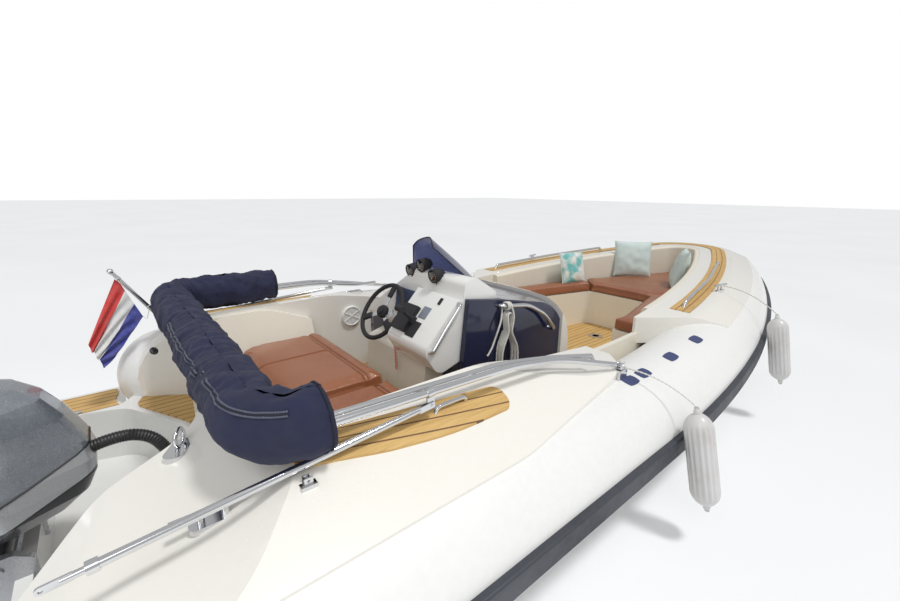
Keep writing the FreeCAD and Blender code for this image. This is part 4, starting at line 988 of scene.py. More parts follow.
def laid_cord(name: str, points: Line, thick: float, finish: Finish, node: str) -> Piece:
    """Args:
        name: The piece's name.
        points: The spline's control points, which repeat the CAD route.
        thick: Its diameter.
        finish: Its finish; a rope gets three laid strands.
        node: The CAD node that it replaces.

    Returns:
        The cord.
    """
    line = spline_line(points, 5)
    track = Track(line)
    rings = int(track.length / (thick * 0.32))
    rope = finish is ROPE

    def place(u: float, v: float) -> Vector:
        """The cord's point for its grid, with twisted strands on a rope and closed ends.

        Args:
            u: The share along the grid's first direction.
            v: The share along its second direction.

        Returns:
            The point.
        """
        step = u * (rings + 2) - 1
        share = within(step / rings)
        if step < -0.5 or step > rings + 0.5:
            return track.at(share)[0]
        angle = v * math.tau
        strand = math.cos(3 * angle - share * track.length / (thick * 3.2) * math.tau) if rope else 0.0
        return track.off(share, angle, thick / 2 * (0.96 + 0.07 * strand))

    piece = dress(wrapped(rings + 2, 12, place), name, finish, node, angle=70)
    path = [tuple(point) for point in line]
    return (piece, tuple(path[0]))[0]


@dataclass
class DockRope:
    """The mooring rope that hangs in a hank from the console rail, and its loose tail."""

    thick: float = 0.010
    wrap: float = 0.0192
    rail_start: Point = (1.530, -0.502, 0.945)
    rail_end: Point = (1.740, -0.502, 0.915)
    loop: Sequence[tuple[float, float]] = (
        (1.599, 0.893), (1.597, 0.850), (1.585, 0.800), (1.612, 0.755), (1.643, 0.700), (1.646, 0.600),
        (1.636, 0.515), (1.585, 0.484), (1.532, 0.512), (1.523, 0.600), (1.522, 0.700), (1.543, 0.755),
        (1.567, 0.800), (1.556, 0.850), (1.556, 0.893), (1.577, 0.905))
    drops: Sequence[tuple[float, float]] = ((0.0, 0.0), (0.030, 0.10), (0.008, 0.04), (0.042, 0.16), (0.018, 0.06))
    tail: Line = ((1.551, -0.484, 0.938), (1.545, -0.487, 0.912), (1.530, -0.500, 0.870), (1.502, -0.506, 0.820),
                  (1.488, -0.497, 0.765), (1.464, -0.501, 0.722), (1.442, -0.495, 0.690))

    def build(self) -> None:
        """Lays the hank and the tail."""
        turns = [*self.wraps(), *self.loops()]
        laid_cord("rope_hank", turns, self.thick, ROPE, "console_rope")
        laid_cord("rope_tail", self.tail, self.thick, ROPE, "console_rope_tail")

    def wraps(self) -> list[Vector]:
        """Two and a half turns round the rail, from its inboard side to its outboard side.

        Returns:
            Points along the turns.
        """
        start, end = Vector(self.rail_start), Vector(self.rail_end)
        way = (end - start).normalized()
        top = way.cross(PORT)
        points = []
        for i in range(31):
            angle = math.tau * i / 12
            middle = start + way * (0.024 + 0.0112 * i / 12)
            points.append(middle + PORT * (self.wrap * math.cos(angle)) + top * (self.wrap * math.sin(angle)))
        return points

    def loops(self) -> list[Point]:
        """Five loose loops of different lengths, side by side below the rail.

        Returns:
            Points along the loops.
        """
        points = []
        for turn, (drop, narrow) in enumerate(self.drops):
            y = -0.524 + 0.0108 * turn
            for step, (x, z) in enumerate(self.loop):
                if turn == 4 and step > 12:
                    break
                low = max(0.0, (0.80 - z) / 0.32)
                shift = 0.0054 * max(0, step - 13)
                points.append((1.583 + (x - 1.583) * (1 - narrow * min(1, low * 2)), y + shift, z + drop * low))
        return points


@dataclass
class KillCord:
    """The curly stop cord below the wheel and its plug."""

    top: Point = (1.140, -0.088, 0.742)
    foot: Point = (1.148, -0.087, 0.552)
    plug: Point = (1.140, -0.0885, 0.748)
    turns: int = 20
    coil: float = 0.0062
    thick: float = 0.0038

    def build(self) -> None:
        """Makes the plug and the curly cord."""
        plug = joined([drum(self.plug, PORT, 0.0135, 0.020, 0.003), drum(self.plug, PORT, 0.009, 0.0235, 0.001)])
        dress(plug, "stop_plug", CORD_RED)
        top, foot = Vector(self.top), Vector(self.foot)
        points = [top]
        count = self.turns * 12
        for i in range(count + 1):
            angle = math.tau * i / 12
            reach = min(1.0, (i + 1) / 7, (count - i + 1) / 7) * self.coil
            middle = top.lerp(foot, 0.04 + 0.93 * i / count)
            points.append(middle + Vector((math.cos(angle) * reach, math.sin(angle) * reach, 0)))
        points.append(foot)
        laid_cord("stop_cord", points, self.thick, CORD_RED, "kill_cord")


@dataclass
class FoldingTopBoot:
    """The padded cover round the stowed bows, with its zips, flaps, bindings and wrinkles."""

    radius: float = 0.093
    level: float = 0.908
    aft: float = 0.237
    bend: float = 0.13
    half: float = 0.900
    zips: Line = ((0.20, 0.47, -1.05), (0.035, 0.19, -0.85), (0.76, 0.97, -0.9))

    def track(self) -> Track:
        """The boot's centreline, from its starboard end round to its port end.

        Returns:
            The centreline.
        """
        side_x, side_y = self.aft + self.bend, self.half - self.bend
        arc = [math.radians(9 * i) for i in range(1, 10)]
        points = [(0.400, -self.half), (side_x, -self.half)]
        points += [(side_x - self.bend * math.sin(turn), -side_y - self.bend * math.cos(turn)) for turn in arc]
        points += [(self.aft, -side_y + 0.07 * i) for i in range(23)]
        points += [(side_x - self.bend * math.cos(turn), side_y + self.bend * math.sin(turn)) for turn in arc]
        points += [(side_x + 0.0463 * i, self.half) for i in range(11)]
        return Track([(x, y, self.level) for x, y in points])

    def surface(self, track: Track, share: float, angle: float, lift: float = 0.0) -> Vector:
        """A point on the wrinkled cloth.

        Args:
            track: The centreline.
            share: The share of its length.
            angle: Radians from the top; positive is the outboard and after side.
            lift: Extra distance from the centreline.

        Returns:
            The point.
        """
        along = share * track.length
        pucker = math.sin(along * 41 + 2.2 * math.sin(angle * 2 + along * 3)) * 0.0035
        crease = noise.noise(Vector((along * 9, math.cos(angle) * 1.6, math.sin(angle) * 1.6))) * 0.011
        fold = -abs(noise.noise(Vector((along * 17 + 40, angle * 0.9, 3)))) * 0.016
        fine = noise.noise(Vector((along * 46, angle * 5, 9))) * 0.0045
        ends = min(1.0, min(share, 1 - share) * track.length / 0.05)
        tuck = 0.9 + 0.1 * math.sqrt(max(ends, 0.0))
        corner = min(abs(along - 0.135), abs(along - track.length + 0.565)) / 0.17
        calm = 1 - 0.85 * max(0.0, 1 - corner) * max(0.0, -math.sin(angle))
        size = (self.radius + 0.004 + (pucker + crease + fold + fine) * calm + lift) * tuck
        sag = -0.006 * max(0.0, -math.cos(angle))
        point = track.off(share, angle, size)
        point.z += sag
        return point

    def build(self) -> None:
        """Makes the cover, its zips and their flaps, and the bindings of its ends."""
        track = self.track()
        rings, sides = 300, 72

        def place(u: float, v: float) -> Vector:
            """The cover's point for its grid, closed at both ends.

            Args:
                u: The share along the grid's first direction.
                v: The share along its second direction.

            Returns:
                The point.
            """
            step = u * (rings + 4) - 2
            share = within(step / rings)
            angle = v * math.tau
            if -0.5 < step < rings + 0.5:
                return self.surface(track, share, angle)
            depth = (-step if step < 0 else step - rings) / 2
            inner = self.surface(track, min(max(share, 0.012), 0.988), angle)
            middle = track.at(share)[0]
            return inner.lerp(middle, 0.35 if depth < 0.75 else 1.0) + Vector((-0.004, 0, 0)) * (depth < 0.75)

        cover = wrapped(rings + 4, sides, place)
        dress(cover, "boot_cover", CANVAS, "bimini_boot", body="folding_top", angle=75)
        for index, (start, end, angle) in enumerate(self.zips):
            run = [start + (end - start) * i / 60 for i in range(61)]
            for row, wide in enumerate((0.0, 0.11)):
                teeth = [self.surface(track, share, angle + wide, 0.001) for share in run]
                dress(hose(teeth, lambda share: 0.0032 + 0.0008 * math.sin(share * 420), 180, 8),
                      f"boot_zip_{index}_{row}", ZIP, body="folding_top")
            flap = [self.surface(track, share, angle + 0.055, 0.0005) for share in run]
            dress(hose(flap, 0.0045, 60, 8), f"boot_flap_{index}", CANVAS_EDGE, body="folding_top")
        for index, share in enumerate((0.004, 0.996)):
            ring = [self.surface(track, share, math.tau * i / 48, 0.001) for i in range(49)]
            dress(hose(ring, 0.0042, 96, 8), f"boot_binding_{index}", CANVAS_EDGE, body="folding_top")


def stuffed(piece: Piece, voxel: float, pressure: float, cap: float, inset: float, pinned_below: float | None,
            steps: int = 16) -> Piece:
    """Blows a closed shape up like a filled cushion, and smooths it.

    Args:
        piece: The closed shape.
        voxel: The size of its remeshed faces.
        pressure: The cloth's inner pressure.
        cap: The furthest that a point may move.
        inset: How much smaller it starts.
        pinned_below: Points lower than this stay where they are.
        steps: The simulated frames.

    Returns:
        The same piece.
    """
    clean(piece, 1e-4)
    apply_modifier(piece, "REMESH", mode="VOXEL", voxel_size=voxel, use_smooth_shade=True)
    apply_modifier(piece, "DISPLACE", strength=-inset, mid_level=0.0)
    apply_modifier(piece, "SMOOTH", factor=0.5, iterations=3)
    start = [vertex.co.copy() for vertex in piece.data.vertices]
    held = piece.vertex_groups.new(name="held")
    if pinned_below is not None:
        held.add([v.index for v in piece.data.vertices if v.co.z < pinned_below], 1.0, "REPLACE")
    take(piece)
    cloth = piece.modifiers.new("filling", "CLOTH")
    rules = cloth.settings
    rules.use_pressure, rules.uniform_pressure_force = True, pressure
    rules.effector_weights.gravity = 0
    rules.quality = 4
    rules.tension_stiffness = rules.compression_stiffness = 12
    rules.bending_stiffness = 2
    if pinned_below is not None:
        rules.vertex_group_mass = "held"
    cloth.point_cache.frame_start, cloth.point_cache.frame_end = 1, steps
    for step in range(1, steps + 1):
        bpy.context.scene.frame_set(step)
    bpy.ops.object.modifier_apply(modifier=cloth.name)
    bpy.context.scene.frame_set(1)
    for vertex, old in zip(piece.data.vertices, start):
        moved = vertex.co - old
        if moved.length > cap:
            vertex.co = old + moved * (cap / moved.length)
    piece.vertex_groups.clear()
    apply_modifier(piece, "SUBSURF", levels=1, render_levels=1)
    return piece


def solids_of(node: str) -> list[Piece]:
    """Copies of a CAD node's separate solids, lowest X first.

    Args:
        node: The node's name.

    Returns:
        One new piece for each solid.
    """
    source = frame["nodes"][node]
    copy = source.copy()
    copy.data = source.data.copy()
    copy.parent = None
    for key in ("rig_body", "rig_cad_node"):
        if key in copy:
            del copy[key]
    bpy.context.scene.collection.objects.link(copy)
    clean(copy)
    take(copy)
    bpy.ops.mesh.separate(type="LOOSE")
    found = list(bpy.context.selected_objects)
    return sorted(found, key=lambda piece: min(v.co.x for v in piece.data.vertices))


def groove(piece: Piece, start: Sequence[float], end: Sequence[float], depth: float, wide: float) -> None:
    """Presses a sewn seam into the top of a cushion.

    Args:
        piece: The cushion.
        start: The seam's first (x, y).
        end: Its last (x, y).
        depth: How deep it is pulled.
        wide: How far the pull reaches.
    """
    one, two = Vector(start), Vector(end)
    way = two - one
    for vertex in [vertex for vertex in piece.data.vertices if vertex.normal.z > 0.3]:
        spot = Vector((vertex.co.x, vertex.co.y))
        share = within((spot - one).dot(way) / way.length_squared)
        off = (spot - (one + way * share)).length
        vertex.co.z -= depth * math.exp(-(off / wide) ** 2)


def stitches(piece: Piece, start: Sequence[float], end: Sequence[float], name: str) -> None:
    """Lays a sewn thread on a cushion along a straight line.

    Args:
        piece: The cushion.
        start: The thread's first (x, y).
        end: Its last (x, y).
        name: The thread's name.
    """
    line = []
    for i in range(61):
        x, y = (one + (two - one) * i / 60 for one, two in zip(start, end))
        point = drop_on(piece, x, y)
        if point is not None:
            line.append(point + UP * THREAD * (0.9 if i % 2 else 0.2))
    if len(line) > 3:
        # The threads are real; their dark colour is the seat vinyl's painted-shade copy.
        dress(hose(line, THREAD, len(line) * 2, 6), name, BROWN_SHADED)


@dataclass
class AfterSeat:
    """The two cushions of the after seat, with their front roll and the port one's cross seam."""

    seam_x: float = 0.905
    cross_y: float = 0.235
    base: float = 0.542

    def build(self) -> None:
        """Makes both cushions with their seams."""
        for side in ("port", "starboard"):
            node = f"aft_cushion_{side}"
            piece = solids_of(node)[0]
            stuffed(piece, 0.011, 3.0, 0.016, 0.005, self.base)
            edge = [v.co for v in piece.data.vertices]
            y_low, y_high = min(p.y for p in edge), max(p.y for p in edge)
            groove(piece, (self.seam_x, y_low), (self.seam_x, y_high), 0.012, 0.014)
            if side == "port":
                groove(piece, (0.50, self.cross_y), (self.seam_x, self.cross_y), 0.007, 0.010)
            dress(piece, f"after_cushion_{side}", BROWN, node, angle=80)
            for row, shift in enumerate((-0.011, 0.011)):
                stitches(piece, (self.seam_x + shift, y_low + 0.02), (self.seam_x + shift, y_high - 0.02),
                         f"after_stitch_{side}_{row}")
            if side == "port":
                beside = self.cross_y + 0.011
                stitches(piece, (0.52, beside), (self.seam_x - 0.02, beside), "after_stitch_cross")


@dataclass
class BowSeat:
    """The brown cushions round the bow well and the three loose pillows."""

    corner_pull: float = 0.055
    pillows: Sequence[tuple[float, float, Point, float, float]] = (
        (0.300, 0.090, (3.490, 0.425, 0.798), 80, 14), (0.370, 0.110, (4.290, 0.240, 0.832), 40, 14),
        (0.370, 0.110, (4.140, -0.300, 0.828), -64, 16))

    def build(self) -> None:
        """Makes the cushions and the pillows."""
        for index, piece in enumerate(solids_of("bow_cushions")):
            stuffed(piece, 0.013, 2.4, 0.013, 0.004, 0.582)
            stands = ("bow_cushions",) if index == 0 else ()
            dress(piece, f"bow_cushion_{index}", BROWN, *stands, angle=80)
        for index, (size, thick, centre, turn, lean) in enumerate(self.pillows):
            self.pillow(index, size, thick, Vector(centre), math.radians(turn), math.radians(lean))

    def pillow(self, index: int, size: float, thick: float, centre: Vector, turn: float, lean: float) -> None:
        """Makes one throw pillow with a piped edge.

        The first one has the clouded cloth; the piping and the other two keep the frame's plain cloth.

        Args:
            index: Its number.
            size: Its side.
            thick: Its thickness at the middle.
            centre: Its middle.
            turn: Its turn about Z, in radians.
            lean: Its lean about Y, in radians.
        """
        steps = 44
        half = size / 2

        def place(u: float, v: float) -> Vector:
            """Both faces of the pillow for one grid: the front runs out and the back runs home.

            Args:
                u: The share along the grid's first direction.
                v: The share along its second direction.

            Returns:
                The point.
            """
            front = u <= 0.5
            share = u * 2 if front else 2 - u * 2
            y, z = (share * 2 - 1), (v * 2 - 1)
            pinch = 1 - self.corner_pull * (1 - abs(y) ** 4) * z ** 2
            tuck = 1 - self.corner_pull * (1 - abs(z) ** 4) * y ** 2
            dome = max(0.0, (1 - abs(y) ** 2.6) * (1 - abs(z) ** 2.6)) ** 0.55
            crumple = noise.noise(Vector((y * 2.6 + index * 7, z * 2.6, 1.5 if front else 6.5))) * 0.010 * dome
            depth = (thick / 2 * dome + crumple) * (1 if front else -1)
            return Vector((depth, y * half * tuck, z * half * pinch))

        piece = wrapped(steps * 2, steps, place, 2e-4)
        lean_on = Matrix.Translation(centre) @ Matrix.Rotation(turn, 4, "Z") @ Matrix.Rotation(lean, 4, "Y")
        piece.data.transform(lean_on)
        plain = bpy.data.materials["pillow_cloth"]
        stands = ("throw_pillows",) if index == 0 else ()
        cloth = clouded_cloth() if index == 0 else plain
        dress(piece, f"pillow_{index}", cloth, *stands, slot="pillow_cloth", angle=80)
        edge = []
        for i in range(161):
            share = i / 40
            side = min(int(share), 3)
            run = (share - side) * 2 - 1
            bow = 1 - self.corner_pull * (1 - abs(run) ** 4)
            y, z = ((run, -bow), (bow, run), (-run, bow), (-bow, -run))[side]
            edge.append(lean_on @ Vector((0, y * half, z * half)))
        piping = hose(edge, 0.0032, 200, 6, capped=False)
        dress(piping, f"pillow_piping_{index}", plain, slot="pillow_cloth")


@dataclass
class Fenders:
    """Two ribbed fenders outside the starboard tube, each on its line."""

    radius: float = 0.060
    neck: float = 0.019
    neck_length: float = 0.028
    line_lift: float = 0.006
    twist_pitch: float = 0.036
    places: Sequence[Line] = (((1.868, -1.350, 0.622), (1.868, -1.460, 0.165), (1.786, -1.058, 0.726)),
                              ((3.400, -1.248, 0.735), (3.400, -1.346, 0.270), (3.427, -0.886, 0.864)))

    def build(self) -> None:
        """Makes the fenders and their lines."""
        for index, (top, foot, start) in enumerate(self.places):
            self.fender(index, Vector(top), Vector(foot))
            self.line(index, Vector(start), Vector(top))

    def fender(self, index: int, top: Vector, foot: Vector) -> None:
        """Makes one fender: a ribbed body with a neck and an eye at each end.

        Args:
            index: Its number.
            top: Its upper end.
            foot: Its lower end.
        """
        track = Track([top, top.lerp(foot, 0.5), foot], (0, 1, 0))
        rings, sides = 120, 96
        length = track.length

        def place(u: float, v: float) -> Vector:
            """The body's point for its grid.

            Args:
                u: The share along the grid's first direction.
                v: The share along its second direction.

            Returns:
                The point.
            """
            reach = u * length
            ends = min(reach, length - reach)
            past = ends - self.neck_length
            size = self.neck
            if past >= 0:
                size += (self.radius - self.neck) * math.sin(min(1.0, past / 0.052) * math.pi / 2) ** 0.7
            elif ends < self.neck_length / 2:
                size *= math.sqrt(max(0.0, 1 - (past / self.neck_length) ** 2))
            rib = 0.0022 * (1 + math.cos(v * math.tau * 16)) * min(1.0, max(0.0, (ends - 0.06) / 0.03))
            return track.off(u, v * math.tau, max(size - 0.0044 + rib, 0.0))

        body = wrapped(rings, sides, place)
        stands = ("fenders",) if index == 0 else ()
        dress(body, f"fender_{index}", SHADED_FENDER, *stands, angle=60)
        way = (foot - top).normalized()
        for end, spot in enumerate((top + way * 0.006, foot - way * 0.006)):
            dress(hoop(spot, (1, 0, 0), 0.0085, 0.0032, 24), f"fender_eye_{index}_{end}", SHADED_FENDER)

    def line(self, index: int, start: Vector, top: Vector) -> None:
        """Makes the two-strand line from the rail down to the fender.

        Args:
            index: Its number.
            start: Where it is tied.
            top: The fender's upper eye.
        """
        over = []
        for i in range(25):
            share = i / 24
            spot = start.lerp(top, share)
            spot.z = start.z + (top.z - start.z) * share ** 2.2
            for name in ("bow_tube", "starboard_tube"):
                hit = drop_on(frame["nodes"][name], spot.x, spot.y)
                if hit is not None:
                    spot.z = max(spot.z, hit.z + self.line_lift)
            over.append(spot)
        middle = Track(over)
        for strand in range(2):
            twist = middle.length / self.twist_pitch * math.tau
            points = [middle.off(i / 240, i / 240 * twist + strand * math.pi, 0.0019) for i in range(241)]
            stands = ("fender_lines",) if index == 0 and strand == 0 else ()
            dress(hose(points, 0.0021, 240, 8), f"fender_line_{index}_{strand}", ROPE, *stands)
        turns = [hoop(start + UP * (0.002 * k), (0.2 * k, 0.3, 1), 0.0075, 0.0030, 20) for k in range(3)]
        dress(joined(turns), f"fender_knot_{index}", ROPE)


@dataclass
class Ensign:
    """The plain tricolour that hangs from the staff in folds."""

    y: float = 0.897
    hoist: float = 0.25
    staff_top: tuple[float, float] = (0.004, 1.082)
    staff_foot: tuple[float, float] = (0.270, 0.665)
    clips: tuple[float, float] = (0.10, 0.52)

    def build(self) -> None:
        """Makes the cloth, its line and the staff's clips."""
        hoist = (Vector((0.022, 0, 1.052)), Vector((0.109, 0, 0.815)))
        fly = (Vector((-0.145, 0, 0.695)), Vector((-0.100, 0, 0.566)))
        low_bend = Vector((-0.046, 0, 0.612))

        def place(u: float, v: float) -> Vector:
            """The cloth's point: u runs down the hoist, v runs out to the fly.

            Args:
                u: The share along the grid's first direction.
                v: The share along its second direction.

            Returns:
                The point.
            """
            top = hoist[0].lerp(fly[0], v)
            foot = hoist[1].lerp(low_bend, v * 1.35) if v < 0.74 else low_bend.lerp(fly[1], (v - 0.74) / 0.26)
            spot = top.lerp(foot, u)
            spot.z += 0.012 * math.sin(u * 17 + 1.5) * v
            wave = math.sin(u * (26 + 16 * v) + 3.5 * v) * (0.0015 + 0.0075 * min(1.0, v * 1.6))
            return Vector((spot.x, self.y + wave, spot.z))

        cloth = draped(90, 60, place)
        for entry in cloth.data.uv_layers[0].data:
            entry.uv = (entry.uv[1], 1 - entry.uv[0])
        dress(cloth, "ensign_cloth", striped_flag(), "flag", slot="flag_cloth", angle=80)
        staff_top, staff_foot = (Vector((x, self.y, z)) for x, z in (self.staff_top, self.staff_foot))
        line = [Vector((0.109, self.y, 0.815)), Vector((0.125, self.y - 0.004, 0.800)),
                staff_top.lerp(staff_foot, 0.53)]
        dress(hose(line, 0.0018, 12, 6), "ensign_line", ROPE)
        way = (staff_foot - staff_top).normalized()
        for index, share in enumerate(self.clips):
            spot = staff_top.lerp(staff_foot, share)
            dress(drum(spot, way, 0.0135, 0.016, 0.002, 24), f"staff_clip_{index}", STEEL)


@dataclass
class RiggingHoses:
    """The corrugated hose from the well to the engine, in two runs."""

    radius: float = 0.0215
    rib_pitch: float = 0.010
    rib_height: float = 0.0013
    fore: Line = ((0.190, -0.122, 0.290), (0.125, -0.118, 0.335), (0.095, -0.112, 0.430), (0.070, -0.104, 0.520),
                  (0.025, -0.092, 0.596), (-0.0254, -0.080, 0.608))
    aft: Line = ((-0.0250, -0.080, 0.608), (-0.075, -0.070, 0.618), (-0.150, -0.056, 0.595))

    def build(self) -> None:
        """Makes both runs."""
        pieces = []
        for name, points in (("hose_fore", self.fore), ("hose_aft", self.aft)):
            line = spline_line(points, 10)
            length = Track(line).length
            turn = round(length / self.rib_pitch) * math.tau
            piece = hose(line, lambda share, turn=turn: self.radius + self.rib_height * math.cos(share * turn),
                         int(length / 0.0025), 28)
            pieces.append(dress(piece, name, HOSE, f"rigging_{name}", body="", angle=50))
        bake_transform(pieces[0])
        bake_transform(pieces[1])


@dataclass
class Wheel:
    """The steering wheel: a soft black rim, three bright spokes with grips, and its hub."""

    centre: Point = (1.180, 0.110, 0.840)
    rake: float = 35.0
    rim: float = 0.165
    grip: float = 0.0128

    def build(self) -> None:
        """Makes the rim, the spokes and the hub."""
        angle = math.radians(self.rake)
        axis = Vector((math.cos(angle), 0, -math.sin(angle)))
        top = Vector((math.sin(angle), 0, math.cos(angle)))
        centre = Vector(self.centre)

        def place(u: float, v: float) -> Vector:
            """The rim's point: a grip with finger swells round its inner side.

            Args:
                u: The share along the grid's first direction.
                v: The share along its second direction.

            Returns:
                The point.
            """
            turn, section = u * math.tau, v * math.tau
            out = top * math.cos(turn) + PORT * math.sin(turn)
            size = self.grip + 0.0011 * math.cos(turn * 36) * max(0.0, -math.cos(section))
            return centre + out * (self.rim + size * math.cos(section)) + axis * (size * math.sin(section))

        def dressed(piece: Piece, name: str, finish: Finish, *stands: str) -> None:
            """Dresses one piece of the wheel."""
            dress(piece, name, finish, *stands, body="helm_wheel", angle=70 if stands else 40)

        dressed(wrapped(216, 18, place), "wheel_rim", BLACK, "steering_wheel")
        for index, turn in enumerate((90, 210, 330)):
            share = math.radians(turn)
            out = PORT * math.cos(share) + top * math.sin(share)
            dressed(self.spoke(centre, out, axis), f"wheel_spoke_{index}", STEEL)
            grip = block((-0.019, -0.030, -0.008), (0.019, 0.034, 0.008), 0.006)
            grip.data.transform(standing(centre + out * 0.118, out.cross(axis), out, axis))
            dressed(clean(grip), f"wheel_grip_{index}", BLACK)
        hub = joined([drum(centre + axis * 0.006, axis, 0.037, 0.030, 0.006),
                      drum(centre - axis * 0.012, axis, 0.026, 0.014, 0.004)])
        dressed(hub, "wheel_hub", BLACK)
        dressed(drum(centre + axis * 0.060, axis, 0.016, 0.10, 0.002), "wheel_shaft", STEEL)

    def spoke(self, centre: Vector, out: Vector, axis: Vector) -> Piece:
        """One tapered spoke from the hub to the rim.

        Args:
            centre: The wheel's middle.
            out: The direction of the spoke.
            axis: The shaft's direction.

        Returns:
            The spoke.
        """
        piece = block((-0.012, 0.020, -0.003), (0.012, 0.158, 0.003), 0.002)
        for vertex in piece.data.vertices:
            share = (vertex.co.y - 0.020) / 0.138
            vertex.co.x *= 1.25 - 0.5 * share
            vertex.co.z += 0.008 * (1 - share) ** 2
        piece.data.transform(standing(centre, out.cross(axis), out, axis))
        return clean(piece)


@dataclass
class HelmPod:
    """The white moulding of the helm and the navy console behind it, whose port shoulder falls away."""

    shoulder: Line = ((1.30, 0.006, 1.061), (1.30, 0.379, 0.832), (1.50, 0.304, 0.990))

    def build(self) -> None:
        """Cuts the shoulder off both mouldings."""
        self.cut("helm_moulding", "helm_pod", WHITE, 0.0, 0.007)
        self.cut("console_shell", "console_body", NAVY, 0.006, 0.004)

    def cut(self, node: str, name: str, finish: Finish, lower: float, edge: float) -> None:
        """Cuts a copy of a CAD moulding along the slanted shoulder and rounds its edges.

        Args:
            node: The CAD node that is copied and replaced.
            name: The piece's name.
            finish: Its finish.
            lower: How far below the shoulder the cut lies.
            edge: The radius of its edges.
        """
        piece = solids_of(node)[0]
        corner, low, far = (Vector(point) for point in self.shoulder)
        slope = (low - corner).cross(far - corner).normalized()
        slope = slope if slope.z > 0 else -slope
        take(piece)
        bpy.ops.object.mode_set(mode="EDIT")
        bpy.ops.mesh.select_all(action="SELECT")
        bpy.ops.mesh.bisect(plane_co=corner - slope * lower, plane_no=slope, use_fill=True, clear_outer=True)
        bpy.ops.object.mode_set(mode="OBJECT")
        apply_modifier(piece, "BEVEL", width=edge, segments=3, limit_method="ANGLE", angle_limit=math.radians(32))
        dress(piece, name, finish, node, angle=35)


@dataclass
class Windscreen:
    """The tinted screen: one bent sheet between its foot and its top, with a dark bead on its free edges."""

    foot: Line = ((1.440, -0.420, 1.035), (1.560, -0.355, 1.000), (1.675, -0.190, 0.965), (1.700, -0.030, 0.958),
                  (1.660, 0.110, 0.980), (1.575, 0.215, 1.020), (1.500, 0.250, 1.055))
    head: Line = ((1.345, -0.160, 1.222), (1.370, -0.110, 1.252), (1.405, -0.055, 1.262), (1.425, 0.000, 1.258),
                  (1.420, 0.050, 1.245), (1.410, 0.090, 1.225), (1.400, 0.105, 1.200))
    thick: float = 0.004

    def build(self) -> None:
        """Makes the sheet, its bead and its fixings."""
        shell, pod = bpy.data.objects["console_body"], bpy.data.objects["helm_pod"]
        low, high = Track(spline_line(self.foot, 10)), Track(spline_line(self.head, 10))

        def place(u: float, v: float) -> Vector:
            """The sheet's point: u runs round it and v runs up it.

            Args:
                u: The share along the grid's first direction.
                v: The share along its second direction.

            Returns:
                The point.
            """
            base, top = low.at(u)[0], high.at(u)[0]
            if v < 0.001:
                hits = [hit.z for hit in (drop_on(node, base.x, base.y) for node in (shell, pod)) if hit is not None]
                base.z = min(hits) - 0.004 if hits else base.z - 0.02
            bulge = 0.018 * math.sin(v * math.pi) * math.sin(u * math.pi)
            return base.lerp(top, v) + Vector((bulge, 0, 0))

        sheet = draped(48, 20, place)
        apply_modifier(sheet, "SOLIDIFY", thickness=self.thick, offset=0.0)
        dress(sheet, "screen_sheet", SCREEN, "windscreen", angle=60)
        edge = [place(0, i / 20) for i in range(1, 21)] + [place(i / 40, 1) for i in range(1, 41)]
        edge += [place(1, 1 - i / 20) for i in range(1, 20)]
        dress(hose(edge, 0.0036, 160, 8), "screen_bead", BLACK)
        for index, share in enumerate((0.03, 0.16, 0.30, 0.70)):
            spot = place(share, 0.05)
            way = Vector((0.5, -0.75 if share < 0.5 else 0.75, 0.4)).normalized()
            dress(drum(spot, way, 0.0065, 0.010, 0.002, 20), f"screen_fixing_{index}", STEEL)


